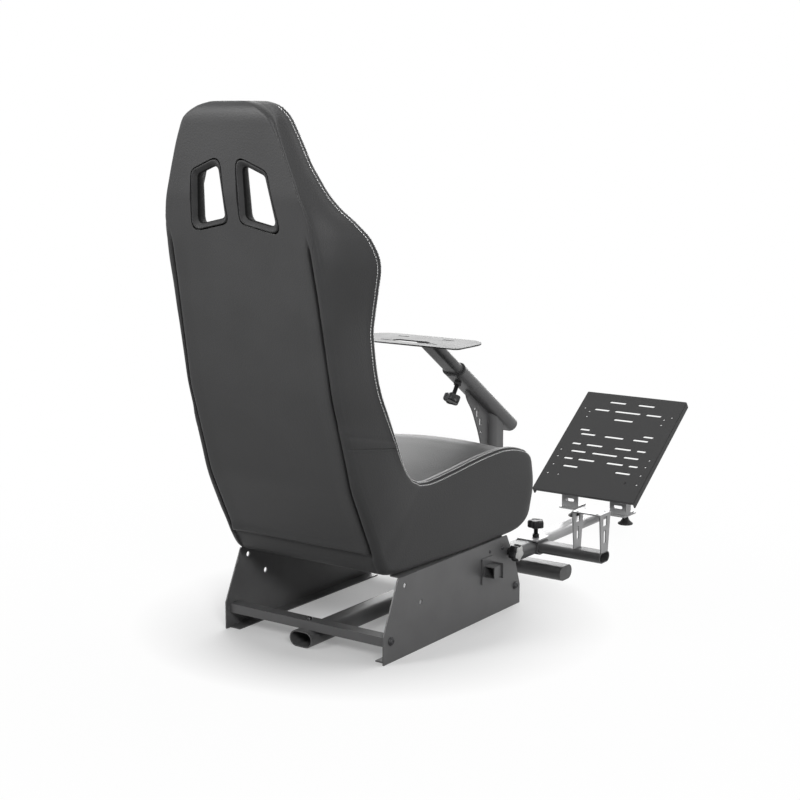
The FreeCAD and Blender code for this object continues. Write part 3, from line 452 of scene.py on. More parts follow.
def tinted(tree, shader, factor, dark, light, low=0.3, high=0.7):
    """Varies the base colour between two tones by a texture."""
    ramp = tree.nodes.new("ShaderNodeValToRGB")
    ramp.color_ramp.elements[0].position = low
    ramp.color_ramp.elements[1].position = high
    ramp.color_ramp.elements[0].color = (*dark, 1.0)
    ramp.color_ramp.elements[1].color = (*light, 1.0)
    tree.links.new(factor, ramp.inputs["Fac"])
    tree.links.new(ramp.outputs["Color"], shader.inputs["Base Color"])


def mapped(tree, source, spans):
    """Maps a value between spans: from low, from high, to low, to high."""
    node = tree.nodes.new("ShaderNodeMapRange")
    for socket, value in zip(("From Min", "From Max", "To Min", "To Max"), spans):
        node.inputs[socket].default_value = value
    tree.links.new(source, node.inputs["Value"])
    return node.outputs["Result"]


def roughened(tree, shader, factor, low, high):
    tree.links.new(mapped(tree, factor, (0.0, 1.0, low, high)), shader.inputs["Roughness"])


def bumped(tree, shader, height, strength, distance):
    bump = tree.nodes.new("ShaderNodeBump")
    bump.inputs["Strength"].default_value = strength
    bump.inputs["Distance"].default_value = distance
    tree.links.new(height, bump.inputs["Height"])
    tree.links.new(bump.outputs["Normal"], shader.inputs["Normal"])


def painted_crease_shade(tree, shader):
    """Paints shade into the colour where the surface folds in on itself."""
    near = tree.nodes.new("ShaderNodeAmbientOcclusion")
    near.samples = CREASE_SHADE_SAMPLES
    near.only_local = True
    near.inputs["Distance"].default_value = CREASE_SHADE_REACH
    shade = tree.nodes.new("ShaderNodeMix")
    shade.data_type = "RGBA"
    shade.blend_type = "MULTIPLY"
    shade.inputs["Factor"].default_value = 1.0
    colour = shader.inputs["Base Color"].links[0].from_socket
    tree.links.new(colour, shade.inputs["A"])
    tree.links.new(mapped(tree, near.outputs["AO"], CREASE_SHADE_SPANS), shade.inputs["B"])
    tree.links.new(shade.outputs["Result"], shader.inputs["Base Color"])


def leather(name, tone, rough):
    """Fine pebbled leatherette: cell grain, slow tone changes, painted shade in its creases, and sheen."""
    mat, tree, shader = node_material(name, rough, specular=0.25)
    grain = texture(tree, "ShaderNodeTexVoronoi", scale=300.0)
    fine = texture(tree, "ShaderNodeTexNoise", scale=1100.0, Detail=3.0)
    slow = texture(tree, "ShaderNodeTexNoise", scale=9.0, Detail=3.0)
    height = tree.nodes.new("ShaderNodeMath")
    height.operation = "MULTIPLY_ADD"
    height.inputs[1].default_value = FINE_GRAIN
    tree.links.new(fine.outputs["Fac"], height.inputs[0])
    tree.links.new(grain.outputs["Distance"], height.inputs[2])
    bumped(tree, shader, height.outputs["Value"], strength=0.18, distance=0.0012)
    tinted(tree, shader, slow.outputs["Fac"], [c * 0.9 for c in tone], [c * 1.1 for c in tone])
    # Painted shade in the leather's creases and seams
    painted_crease_shade(tree, shader)
    roughened(tree, shader, slow.outputs["Fac"], low=rough - 0.06, high=rough + 0.08)
    shader.inputs["Sheen Weight"].default_value = 0.08
    shader.inputs["Sheen Roughness"].default_value = 0.5
    return mat


def powder_coat(name, tone, rough):
    """Fine orange-peel powder coat on steel."""
    mat, tree, shader = node_material(name, rough)
    peel = texture(tree, "ShaderNodeTexNoise", scale=900.0, Detail=2.0)
    slow = texture(tree, "ShaderNodeTexNoise", scale=14.0, Detail=4.0)
    bumped(tree, shader, peel.outputs["Fac"], strength=0.18, distance=0.0004)
    tinted(tree, shader, slow.outputs["Fac"], [c * 0.88 for c in tone], [c * 1.12 for c in tone])
    roughened(tree, shader, slow.outputs["Fac"], low=rough - 0.05, high=rough + 0.06)
    return mat


def moulded(name, tone, rough, specular=0.5):
    """Moulded plastic with a spark-eroded texture."""
    mat, tree, shader = node_material(name, rough, specular)
    spark = texture(tree, "ShaderNodeTexNoise", scale=1600.0, Detail=3.0)
    slow = texture(tree, "ShaderNodeTexNoise", scale=30.0, Detail=2.0)
    bumped(tree, shader, spark.outputs["Fac"], strength=0.12, distance=0.0003)
    tinted(tree, shader, slow.outputs["Fac"], [c * 0.85 for c in tone], [c * 1.15 for c in tone])
    roughened(tree, shader, spark.outputs["Fac"], low=rough - 0.06, high=rough + 0.06)
    return mat


def plated(name, tone, rough):
    """Zinc-plated steel for fasteners."""
    mat, tree, shader = node_material(name, rough, metallic=1.0)
    brushed = texture(tree, "ShaderNodeTexNoise", scale=700.0, Detail=4.0)
    tinted(tree, shader, brushed.outputs["Fac"], [c * 0.8 for c in tone], tone)
    roughened(tree, shader, brushed.outputs["Fac"], low=rough - 0.08, high=rough + 0.1)
    return mat


def thread(name, tone):
    """Twisted sewing thread."""
    mat, tree, shader = node_material(name, rough=0.7)
    twist = texture(tree, "ShaderNodeTexNoise", scale=1800.0, Detail=1.0)
    tinted(tree, shader, twist.outputs["Fac"], [c * 0.75 for c in tone], tone)
    bumped(tree, shader, twist.outputs["Fac"], strength=0.3, distance=0.0003)
    return mat


seat_leather = leather("seat_leather", SEAT_TONE, rough=0.5)
panel_leather = leather("panel_leather", PANEL_TONE, rough=0.56)
black_coat = powder_coat("black_coat", COAT_TONE, rough=0.4)
pedal_coat = powder_coat("pedal_coat", PEDAL_TONE, rough=0.56)
wheel_coat = powder_coat("wheel_coat", PEDAL_TONE, rough=0.5)
pale_coat = powder_coat("pale_coat", PALE_TONE, rough=0.3)
black_plastic = moulded("black_plastic", (0.03, 0.03, 0.031), rough=0.5)
bezel_plastic = moulded("bezel_plastic", (0.03, 0.03, 0.0305), rough=0.62, specular=0.2)
# Near-black plastic for the harness tunnel: painted shade inside the opening
tunnel_painted_shade = moulded("tunnel_painted_shade", (0.004, 0.004, 0.004), rough=0.7, specular=0.1)
knob_plastic = moulded("knob_plastic", (0.02, 0.02, 0.021), rough=0.4, specular=0.3)
grey_plastic = moulded("grey_plastic", (0.11, 0.11, 0.11), rough=0.5)
# Plastic for the side knob's cap: a grey cap, painted pale as a highlight for the light falling on its face
grey_cap_painted_highlight = moulded("grey_cap_painted_highlight", (0.62, 0.62, 0.61), rough=0.5)
foot_rubber = moulded("foot_rubber", (0.025, 0.025, 0.025), rough=0.65)
dark_zinc = plated("dark_zinc", (0.06, 0.06, 0.062), rough=0.35)
white_thread = thread("white_thread", (0.72, 0.72, 0.72))

SLOT_MATERIAL = {
    "black_coat": black_coat, "black_plastic": black_plastic, "knob_plastic": knob_plastic,
    "grey_plastic": grey_plastic, "foot_rubber": foot_rubber, "seat_leather": seat_leather,
    "panel_leather": panel_leather,
}
PALE_NODES = (
    "shifter_inner_leg", "shifter_outer_leg", "shifter_top_plate", "shifter_clamp",
    "pedal_tube", "pedal_bridge", "right_pedal_upright", "left_pedal_upright",
)
for part in frame["record"]["subparts"]:
    node = frame["nodes"][part["node"]]
    node.data.materials.clear()
    finish = pale_coat if part["node"] in PALE_NODES else SLOT_MATERIAL[part["material_slot"]]
    node.data.materials.append(finish)
frame["nodes"]["wheel_plate"].data.materials[0] = wheel_coat


# Seat


def ray_cut(line, angle):
    """Place where the hip's ray at an angle meets a side-view line."""
    pivot = np.array(HIP_PIVOT)
    ray = np.array((-math.cos(angle), -math.sin(angle)))
    for a, b in zip(line, line[1:]):
        run = np.subtract(b, a)
        reach, share = np.linalg.solve(np.array((ray, -run)).T, np.subtract(a, pivot))
        if reach > 0.0 and 0.0 <= share <= 1.0:
            return np.round(pivot + ray * reach, STATION_DECIMALS)
    raise ValueError("a ray of the hip misses its line")


def seat_stations():
    """From head to nose: shell, cushion and bolster edge as (y, z), then rear half, front half, corner."""
    rows = [(shell, z, cushion, z, edge, z, *sizes) for z, shell, cushion, edge, *sizes in BACK_STATIONS]
    for degrees, *sizes in HIP_STATIONS:
        cuts = [ray_cut(line, math.radians(degrees)) for line in (HIP_SHELL, HIP_CUSHION, HIP_EDGE)]
        rows.append((*np.concatenate(cuts), *sizes))
    rows += [(y, shell, y, cushion, y, edge, *sizes) for y, shell, cushion, edge, *sizes in BASE_STATIONS]
    return np.array(rows)


SEAT_STATIONS = seat_stations()
BACK_ROWS = SEAT_STATIONS[:len(BACK_STATIONS)]


def pchip(t, values, query):
    """Smooth interpolation through the stations that never overshoots them."""
    out = np.empty((len(query), values.shape[1]))
    h = np.diff(t)
    cell = np.clip(np.searchsorted(t, query, side="right") - 1, 0, len(h) - 1)
    k = (query - t[cell]) / h[cell]
    for c in range(values.shape[1]):
        y = values[:, c]
        d = np.diff(y) / h
        m = np.zeros(len(y))
        m[0] = d[0]
        m[-1] = d[-1]
        for i in range(1, len(d)):
            if d[i - 1] * d[i] > 0:
                w0 = 2 * h[i] + h[i - 1]
                w1 = h[i] + 2 * h[i - 1]
                m[i] = (w0 + w1) / (w0 / d[i - 1] + w1 / d[i])
        out[:, c] = ((1 + 2 * k) * (1 - k) ** 2 * y[cell] + k * (1 - k) ** 2 * h[cell] * m[cell]
                     + k * k * (3 - 2 * k) * y[cell + 1] + k * k * (k - 1) * h[cell] * m[cell + 1])
    return out


def station_lengths():
    """Distance along the seat, midway between shell and bolster edge, at each station."""
    mid = 0.5 * (SEAT_STATIONS[:, 0:2] + SEAT_STATIONS[:, 4:6])
    return np.concatenate(([0.0], np.cumsum(np.linalg.norm(np.diff(mid, axis=0), axis=1))))


def along_table(table, at):
    return float(np.interp(at, [row[0] for row in table], [row[1] for row in table]))


def bowed(start, end, height, count):
    """Points of a straight run after its start, bowed out by a height in the middle."""
    run = end - start
    out = np.array((run[1], -run[0])) / max(np.linalg.norm(run), TINY)
    return [start + run * k + out * height * math.sin(math.pi * k) for k in np.linspace(0.0, 1.0, count)[1:]]


def half_section(depth, cushion, rear, front, corner, panel, turn, crown, bulge):
    """Right half of a section, x and distance in from the shell, with the seams' places along it."""
    tip = min(EDGE_TIP, TIP_SHARE * depth)
    r = min(corner, CORNER_SHARE * depth)
    well = front - 2 * tip - WELL_SLOPE * (depth - cushion) - WELL_INSET
    points = [(0.0, 0.0), (rear - r, 0.0)]
    for a in np.linspace(0.0, math.pi / 2, CORNER_POINTS)[1:]:
        points.append((rear - r + r * math.sin(a), r - r * math.cos(a)))
    points += bowed(np.array((rear, r)), np.array((front, depth - tip)), bulge, SIDE_POINTS)
    seam_at = len(points)
    for a in np.linspace(0.0, math.pi, TIP_POINTS)[1:]:
        points.append((front - tip + tip * math.cos(a), depth - tip + tip * math.sin(a)))
    start = np.array((front - 2 * tip, depth - tip))
    end = np.array((well, cushion))
    puff = BOLSTER_CROWN * min(1.0, np.linalg.norm(end - start) / BOLSTER_FULL_RUN)
    points += bowed(start, end, puff, BOLSTER_POINTS)
    inner_at = len(points) - 1
    for k in np.linspace(0.0, 1.0, CUSHION_POINTS)[1:]:
        x = well * (1 - k)
        points.append((x, cushion + crown * (1 - (x / well) ** 2)))
    points = np.array(points)
    run = np.concatenate(([0.0], np.cumsum(np.linalg.norm(np.diff(points, axis=0), axis=1))))
    seams = (min(panel, rear - PANEL_INSET), run[seam_at - 1] + turn * tip, run[inner_at])
    return points, run, seams


def sample_places(run, seams, shrink):
    """Places along a half section: even runs, closer together at the seams."""
    steps = np.array(SEAM_STEPS) * shrink
    reach = steps[-1]
    a, b, c = seams
    knee = min(KNEE, KNEE_SHARE * (b - a))
    return np.concatenate((
        np.linspace(0.0, a - reach, PANEL_SAMPLES)[:-1], a + steps,
        np.linspace(a + reach, a + knee, KNEE_SAMPLES)[1:-1],
        np.linspace(a + knee, b - reach, SIDE_SAMPLES)[:-1], b + steps,
        np.linspace(b + reach, c - reach, BOLSTER_SAMPLES)[1:-1], c + steps,
        np.linspace(c + reach, run[-1], CUSHION_SAMPLES)[1:],
    ))


def ridge(d, width):
    return np.exp(-(d / width) ** 2)


def smooth_step(x, low, high):
    k = np.clip((x - low) / (high - low), 0.0, 1.0)
    return k * k * (3 - 2 * k)


def fade(x, origin, span):
    """Smooth step over a span that is given from an origin."""
    return smooth_step(x, origin + span[0], origin + span[1])


def folds(d, rows):
    """Sum of ridges at a distance from a seam."""
    return sum(height * ridge(d - at, width) for height, at, width in rows)


class Seat:
    """Side-view stations of the seat turned into points on its skin."""

    def __init__(self):
        self.t = station_lengths()
        dense = np.arange(0.0, self.t[-1], 1.0)
        shell = pchip(self.t, SEAT_STATIONS, dense)
        back = dense < self.t[BASE_FIRST_STATION]
        self.hem_t = float(np.interp(-PANEL_LOW_Z, -shell[back, 1], dense[back]))
        self.side_t = float(self.t[SIDE_SEAM_STATION])

    def rows(self):
        """Distances of the mesh's rows, closer together at the cross seams and at both ends."""
        rows = list(np.arange(0.0, self.t[-1], ROW_STEP)) + [self.t[-1]]
        for centre in (self.hem_t, self.side_t, self.side_t - SIDE_TUCK):
            rows = [r for r in rows if abs(r - centre) > ROW_CLEAR]
            rows += [centre + s for s in SEAM_STEPS]
        rows += list(HEAD_ROWS) + [self.t[-1] - d for d in NOSE_ROWS]
        return np.array(sorted(set(round(r, ROW_DECIMALS) for r in rows)))

    def section(self, t):
        """Plain half section at a distance: frame, rear half, points, places along it, seams, samples."""
        oy, oz, cy, cz, ey, ez, rear, front, corner = pchip(self.t, SEAT_STATIONS, np.array([t]))[0]
        origin = np.array((oy, oz))
        reach = np.array((ey, ez)) - origin
        depth = np.linalg.norm(reach)
        cushion = min(np.linalg.norm(np.array((cy, cz)) - origin), depth - CUSHION_MARGIN)
        panel = along_table(PANEL_SEAM, oz)
        turn = along_table(EDGE_SEAM_TURN, t)
        crown = CUSHION_CROWN * min(1.0, depth / CROWN_FULL_DEPTH) * smooth_step(t, *CROWN_SPAN)
        bulge = along_table(SIDE_CROWN, t)
        points, run, seams = half_section(depth, cushion, rear, front, corner, panel, turn, crown, bulge)
        places = sample_places(run, seams, min(1.0, depth / SEAM_FULL_DEPTH))
        return origin, reach / depth, rear, points, run, seams, places

    def lift(self, t, oz, rear, places, seams):
        """Padding, seams and folds as a distance out from the plain section."""
        panel, edge, inner = seams
        groove = smooth_step(-oz, -GROOVE_FADE_Z, -GROOVE_FULL_Z)
        groove *= 1.0 - fade(t, self.hem_t, GROOVE_END)
        d = places - panel
        cut = np.where(d < 0.0, ridge(d, GROOVE_STEEP), ridge(d, GROOVE_GENTLE))
        out = groove * (-GROOVE_DEPTH * cut + folds(d, PANEL_SWELL))
        past, deep, gentle = [np.interp(oz, VALLEY[:, 0], VALLEY[:, c]) for c in (1, 2, 3)]
        d = places - rear - past
        deep *= 1.0 - fade(t, self.hem_t, VALLEY_END)
        out -= deep * np.where(d < 0.0, ridge(d, VALLEY_STEEP), ridge(d, gentle))
        out += folds(places - edge, EDGE_FOLDS)
        out += folds(places - inner, INNER_FOLDS)
        if t < self.hem_t + HEM_UNDER_OUT[1]:
            inside = 1.0 - fade(places, panel, HEM_SIDE)
            d = t - self.hem_t
            under = -HEM_UNDER * smooth_step(d, *HEM_UNDER_IN) * (1.0 - smooth_step(d, *HEM_UNDER_OUT))
            out += inside * (folds(d, HEM_ROLL) + under)
        side = fade(places, panel, SIDE_FROM) * (1.0 - fade(places, edge, SIDE_TO))
        out += side * folds(t - self.side_t, SIDE_FOLDS)
        return out

    def half_ring(self, t):
        """Right half ring in the seat's side view: x, y, z and outward normals."""
        origin, along, rear, points, run, seams, places = self.section(t)
        x = np.interp(places, run, points[:, 0])
        depth = np.interp(places, run, points[:, 1])
        tx = np.gradient(x)
        td = np.gradient(depth)
        size = np.hypot(tx, td)
        nx = td / size
        nd = -tx / size
        nx[0] = 0.0
        nx[-1] = 0.0
        flat = fade(t, self.hem_t, BASE_FLAT)
        lift = self.lift(t, origin[1], rear, places, seams)
        lift *= 1.0 - flat * (1.0 - fade(places, seams[0], FLAT_EDGE))
        x = x + nx * lift
        depth = depth + nd * lift
        y = origin[0] + along[0] * depth
        z = origin[1] + along[1] * depth
        normal = np.stack((nx, along[0] * nd, along[1] * nd), axis=1)
        return np.stack((x, y, z), axis=1), normal, places, seams

    def ring(self, t):
        half, _, _, _ = self.half_ring(t)
        left = half[-2:0:-1] * np.array((-1.0, 1.0, 1.0))
        return np.vstack((half, left))

    def seam_line(self, side, t0, t1):
        """Points and normals along the bolster edge, to one side of its seam."""
        points = []
        normals = []
        for t in np.arange(t0, t1, STITCH_STEP):
            half, normal, places, seams = self.half_ring(t)
            at = seams[1] + side * along_table(STITCH_GAP, t)
            points.append([np.interp(at, places, half[:, c]) for c in range(3)])
            normals.append([np.interp(at, places, normal[:, c]) for c in range(3)])
        return np.array(points), np.array(normals)


def seat_mesh(seat):
    """Closed skin of the whole seat, with a low dome on each end."""
    rings = [seat.ring(t) for t in seat.rows()]
    caps = []
    for ring, out in ((rings[0], (0.0, 0.0, 1.0)), (rings[-1], (0.0, 1.0, 0.0))):
        centre = ring.mean(axis=0)
        caps.append([centre + (ring - centre) * share + np.array(out) * rise for share, rise in DOME])
    rings = caps[0][::-1] + rings + caps[1]
    return loft("seat", [[place(*p) for p in ring] for ring in rings])


def rounded_outline(corners, grow, radius, steps=6):
    """Convex outline moved outwards, with round corners."""
    n = len(corners)
    lines = []
    for i in range(n):
        a = np.array(corners[i])
        b = np.array(corners[(i + 1) % n])
        d = (b - a) / np.linalg.norm(b - a)
        lines.append((a + np.array((d[1], -d[0])) * grow, d))
    moved = []
    for i in range(n):
        (p, d), (q, e) = lines[i - 1], lines[i]
        k = np.linalg.solve(np.array((d, -e)).T, q - p)
        moved.append(p + d * k[0])
    out = []
    for i in range(n):
        p = moved[i]
        a = moved[i - 1] - p
        b = moved[(i + 1) % n] - p
        a = a / np.linalg.norm(a)
        b = b / np.linalg.norm(b)
        half = 0.5 * math.acos(float(np.clip(a @ b, -1, 1)))
        back = (radius + max(grow, 0.0) * CORNER_GROWTH) / math.tan(half)
        for k in np.linspace(0.0, 1.0, steps):
            u = (1 - k) ** 2
            v = k * k
            out.append(p + a * back * u + b * back * v)
    return np.array(out)


def shell_y(z):
    return float(np.interp(-z, -BACK_ROWS[:, 1], BACK_ROWS[:, 0]))


def cushion_y(z):
    return float(np.interp(-z, -BACK_ROWS[:, 3], BACK_ROWS[:, 2]))


def harness_ring(grow, rear, inward, side):
    """Outline of the harness opening at a distance in from the shell, or from the cushion's face."""
    ring = []
    for x, z in rounded_outline(HARNESS, grow, HARNESS_R):
        y = shell_y(z) + inward if rear else cushion_y(z) + inward
        ring.append(place(side * x, y, z))
    return ring


def harness_liner(side):
    """Moulded liner through the opening: rear flange, tunnel and front flange."""
    rings = [harness_ring(grow, True, inward, side) for grow, inward in LINER_REAR]
    rings += [harness_ring(grow, False, inward, side) for grow, inward in LINER_FRONT]
    return loft("liner", rings, closed=True)


def harness_cutter(side):
    grow = LINER_W + LINER_GAP
    rings = []
    for y, extra in CUTTER_RINGS:
        rings.append([place(side * x, y, z) for x, z in rounded_outline(HARNESS, grow + extra, HARNESS_R)])
    return loft("cutter", rings)


def stitch_row(points, normals, side):
    """Short raised stitches along a line of points in millimetres."""
    run = np.concatenate(([0.0], np.cumsum(np.linalg.norm(np.diff(points, axis=0), axis=1))))
    verts = []
    faces = []
    around = STITCH_AROUND
    for start in np.arange(STITCH_PITCH, run[-1] - STITCH_PITCH, STITCH_PITCH):
        at = np.array([np.interp(start, run, points[:, c]) for c in range(3)])
        ahead = np.array([np.interp(start + STITCH_AHEAD, run, points[:, c]) for c in range(3)])
        normal = np.array([np.interp(start, run, normals[:, c]) for c in range(3)])
        t = (ahead - at) / np.linalg.norm(ahead - at)
        n = normal - t * (normal @ t)
        n = n / np.linalg.norm(n)
        b = np.cross(t, n)
        base = len(verts)
        for k, r in STITCH_PROFILE:
            for j in range(around):
                a = 2 * math.pi * j / around
                across = n * (math.sin(a) * STITCH_RISE + STITCH_LIFT) + b * math.cos(a)
                p = at + t * STITCH_LENGTH * k + across * STITCH_R * r
                verts.append(place(side * p[0], p[1], p[2]))
        for i in range(len(STITCH_PROFILE) - 1):
            low = base + i * around
            for j in range(around):
                q = (j + 1) % around
                faces.append((low + j, low + q, low + around + q, low + around + j))
        faces.append(tuple(base + j for j in range(around))[::-1])
        faces.append(tuple(base + (len(STITCH_PROFILE) - 1) * around + j for j in range(around)))
    return verts, faces


def stitching(seat, side, name):
    """Two rows of stitches, one on each side of the edge seam."""
    verts = []
    faces = []
    for row in (-1, 1):
        points, normals = seat.seam_line(row, STITCH_ENDS[0], seat.t[-1] - STITCH_ENDS[1])
        more, loops = stitch_row(points, normals, side)
        faces += [tuple(i + len(verts) for i in loop) for loop in loops]
        verts += more
    return mesh_object(name, verts, faces)


def build_seat():
    seat = Seat()
    skin = seat_mesh(seat)
    for side in (1, -1):
        cutter = harness_cutter(side)
        cut = skin.modifiers.new("opening", "BOOLEAN")
        cut.operation = "DIFFERENCE"
        cut.solver = "EXACT"
        cut.object = cutter
        applied(skin)
        bpy.data.objects.remove(cutter)
    finish_piece(skin, "frame", "seat_leather", seat_leather, "seat_back", "seat_base", "back_panel",
                 "seat_head", "right_back_bolster", "left_back_bolster")
    skin.name = "bucket_seat"
    skin.data.polygons.foreach_set("use_smooth", [True] * len(skin.data.polygons))
    skin.data.set_sharp_from_angle(angle=math.radians(SHARP_ANGLE))
    for side, label in ((1, "right"), (-1, "left")):
        liner = harness_liner(side)
        liner.name = label + "_harness_liner"
        finish_piece(liner, "frame", "black_plastic", bezel_plastic, label + "_harness_bezel")
        # The tunnel rings get the near-black plastic: painted shade inside the opening
        liner.data.materials.append(tunnel_painted_shade)
        around = len(liner.data.polygons) // (len(LINER_REAR) + len(LINER_FRONT))
        for polygon in liner.data.polygons:
            if polygon.index // around in SHADED_TUNNEL_RINGS:
                polygon.material_index = 1
        rows = stitching(seat, side, label + "_edge_stitching")
        finish_piece(rows, "frame", "seat_leather", white_thread)


# Flat sheet pieces


def slot_loop(x, y, length, radius, steps=7):
    half = length / 2 - radius
    out = []
    for centre, start in ((half, -90.0), (-half, 90.0)):
        for k in range(steps):
            a = math.radians(start + 180.0 * k / (steps - 1))
            out.append((x + centre + radius * math.cos(a), y + radius * math.sin(a)))
    return out


def disc_loop(x, y, radius, steps=18):
    return [(x + radius * math.cos(2 * math.pi * k / steps), y + radius * math.sin(2 * math.pi * k / steps))
            for k in range(steps)]


def sheet_piece(name, loops, thickness, edge):
    """Flat sheet with cut-outs, centred on its thickness, edges eased."""
    curve = bpy.data.curves.new(name, "CURVE")
    curve.dimensions = "2D"
    curve.fill_mode = "BOTH"
    curve.extrude = (thickness / 2 - edge) * MM
    curve.bevel_depth = edge * MM
    curve.bevel_resolution = 1
    curve.offset = -edge * MM
    for loop in loops:
        spline = curve.splines.new("POLY")
        spline.points.add(len(loop) - 1)
        for point, (x, y) in zip(spline.points, loop):
            point.co = (x * MM, y * MM, 0.0, 1.0)
        spline.use_cyclic_u = True
    obj = bpy.data.objects.new(name, curve)
    bpy.context.scene.collection.objects.link(obj)
    shown = obj.evaluated_get(bpy.context.evaluated_depsgraph_get())
    mesh = bpy.data.meshes.new_from_object(shown)
    bpy.data.objects.remove(obj)
    face_outward(mesh)
    piece = bpy.data.objects.new(name, mesh)
    bpy.context.scene.collection.objects.link(piece)
    return piece


def moved(obj, matrix):
    obj.data.transform(matrix)
    return obj


def rectangle(x0, x1, y0, y1, radius):
    return rounded_outline(((x0, y0), (x1, y0), (x1, y1), (x0, y1)), 0.0, radius, FOLD_STEPS)


def pedal_plate():
    """Slotted plate with two side flanges, a low hem and two pivot lugs."""
    rise = PEDAL_TOP[1] - PEDAL_LOW[1]
    run = PEDAL_TOP[0] - PEDAL_LOW[0]
    length = math.hypot(rise, run)
    angle = math.atan2(rise, run)
    half = PEDAL_HALF
    loops = [rectangle(-half, half, 0.0, length, FACE_CORNER_R)]
    for x, up, size in PEDAL_SLOTS:
        for side in ((1, -1) if x else (1,)):
            loops.append(slot_loop(side * x, up, size, PEDAL_SLOT_R))
    for x, up in PEDAL_HOLES:
        for side in (1, -1):
            loops.append(disc_loop(side * x, up, PEDAL_HOLE_R))
    lay = Matrix.Translation(place(0.0, *PEDAL_LOW)) @ Matrix.Rotation(angle, 4, "X")
    t = PEDAL_T
    face = sheet_piece("face", loops, t, SHEET_EDGE)
    pieces = [moved(face, lay @ Matrix.Translation((0, 0, -0.5 * t * MM)))]
    strip = rectangle(0.0, length, -PEDAL_FLANGE, -FOLD_LAP, FOLD_CORNER_R)
    upright = Matrix(((0, 0, 1, 0), (1, 0, 0, 0), (0, 1, 0, 0), (0, 0, 0, 1)))
    for side in (1, -1):
        shift = Matrix.Translation((side * (half - 0.5 * t) * MM, 0, 0))
        pieces.append(moved(sheet_piece("flange", [strip], t, SHEET_EDGE), lay @ shift @ upright))
    low = rectangle(-half + t, half - t, -PEDAL_HEM, -FOLD_LAP, FOLD_CORNER_R)
    stand = Matrix.Translation((0, 0.5 * t * MM, 0)) @ Matrix.Rotation(math.radians(90), 4, "X")
    pieces.append(moved(sheet_piece("hem", [low], t, SHEET_EDGE), lay @ stand))
    out_y = -math.sin(angle)
    out_z = math.cos(angle)
    dy = PIVOT[0] - PEDAL_LOW[0]
    dz = PIVOT[1] - PEDAL_LOW[1]
    drop = dy * out_y + dz * out_z
    up = dy * math.cos(angle) + dz * math.sin(angle)
    turns = np.linspace(math.pi, 2 * math.pi, LUG_POINTS)
    arc = [(up + LUG_R * math.cos(a), drop + LUG_R * math.sin(a)) for a in turns]
    lug = arc + [(up + LUG_R, -0.5 * t), (up - LUG_R, -0.5 * t)]
    for side in (1, -1):
        shift = Matrix.Translation((side * (LUG_X + 0.5 * LUG_T) * MM, 0, 0))
        loops = [lug, disc_loop(up, drop, PIVOT_BORE_R)]
        pieces.append(moved(sheet_piece("lug", loops, LUG_T, SHEET_EDGE), lay @ shift @ upright))
    plate = joined("slotted_pedal_plate", pieces)
    finish_piece(plate, "pedal_board", "black_coat", pedal_coat, "pedal_plate")


# Turned and moulded pieces


def lathe(profile, around=36, lobes=0, depth=0.0):
    """Rings about Z from (radius, height, lobe share) rows, optionally lobed."""
    rings = []
    for r, h, wave in profile:
        ring = []
        for k in range(around):
            a = 2 * math.pi * k / around
            size = r * (1 - depth * wave * 0.5 * (1 - math.cos(lobes * a))) if lobes else r
            ring.append(Vector((size * math.cos(a) * MM, size * math.sin(a) * MM, h * MM)))
        rings.append(ring)
    return rings


def star_knob(name, stem, turn, at):
    """Five-lobed knob with a rounded crown on its stem, over a nut."""
    r = KNOB_R
    profile = (
        (5.0, 0.0, 0), (5.0, stem - 3.0, 0), (7.5, stem - 2.6, 0), (8.0, stem - 0.2, 0), (r - 2.0, stem, 1),
        (r, stem + 2.0, 1), (r, stem + 13.0, 1), (r - 1.0, stem + 16.0, 1), (r - 3.0, stem + 17.6, 0.9),
        (11.0, stem + 18.0, 0.5), (10.0, stem + 17.2, 0.2), (4.0, stem + 17.0, 0),
    )
    knob = loft(name + "_body", lathe(profile, KNOB_POINTS, KNOB_LOBES, KNOB_LOBE_DEPTH))
    nut = loft(name + "_nut", lathe(NUT_PROFILE, NUT_SIDES))
    for polygon in nut.data.polygons:
        polygon.use_smooth = False
    whole = joined(name, [knob, nut])
    moved(whole, Matrix.Translation(at) @ turn)
    return whole


def knob_pieces():
    column = math.radians(COLUMN_SLOPE)
    out = Matrix.Rotation(math.pi - column, 4, "X")
    up = np.array((-math.cos(column), math.sin(column)))
    under = np.array((-math.sin(column), -math.cos(column)))
    y, z = np.array(COLUMN_LOW) + up * COLUMN_KNOB_UP + under * COLUMN_KNOB_UNDER
    knob = star_knob("column_star_knob", COLUMN_STEM, out, place(0.0, y, z))
    finish_piece(knob, "frame", "knob_plastic", knob_plastic, "column_knob")
    knob = star_knob("shifter_star_knob", SHIFTER_STEM, Matrix.Identity(4), place(*SHIFTER_KNOB))
    finish_piece(knob, "frame", "knob_plastic", knob_plastic, "shifter_knob")
    across = Matrix.Rotation(math.pi / 2, 4, "Y")
    knob = star_knob("side_star_knob", SIDE_STEM, across, place(*SIDE_KNOB))
    finish_piece(knob, "frame", "knob_plastic", knob_plastic, "side_knob")
    # Grey cap on the side knob's face, painted pale as a highlight for the light falling on it
    cap = loft("side_knob_cap", lathe(CAP_PROFILE, KNOB_POINTS, KNOB_LOBES, KNOB_LOBE_DEPTH))
    moved(cap, Matrix.Translation(place(*SIDE_KNOB)) @ across @ Matrix.Translation((0, 0, SIDE_STEM * MM)))
    finish_piece(cap, "frame", "grey_plastic", grey_cap_painted_highlight)


def feet():
    for side, label in ((1, "right"), (-1, "left")):
        foot = loft(label + "_levelling_foot", lathe(FOOT_PROFILE))
        moved(foot, Matrix.Translation(place(side * FOOT_X, FOOT_Y, 0.0)))
        finish_piece(foot, "pedal_carrier", "foot_rubber", foot_rubber, label + "_pedal_foot")


def bolt_head(at, turn, size):
    """Button-head bolt with its washer; size is the head's share of an M8 one."""
    head = loft("head", lathe([(r * size, h * size, wave) for r, h, wave in BOLT_PROFILE], BOLT_POINTS))
    return moved(head, Matrix.Translation(at) @ turn)


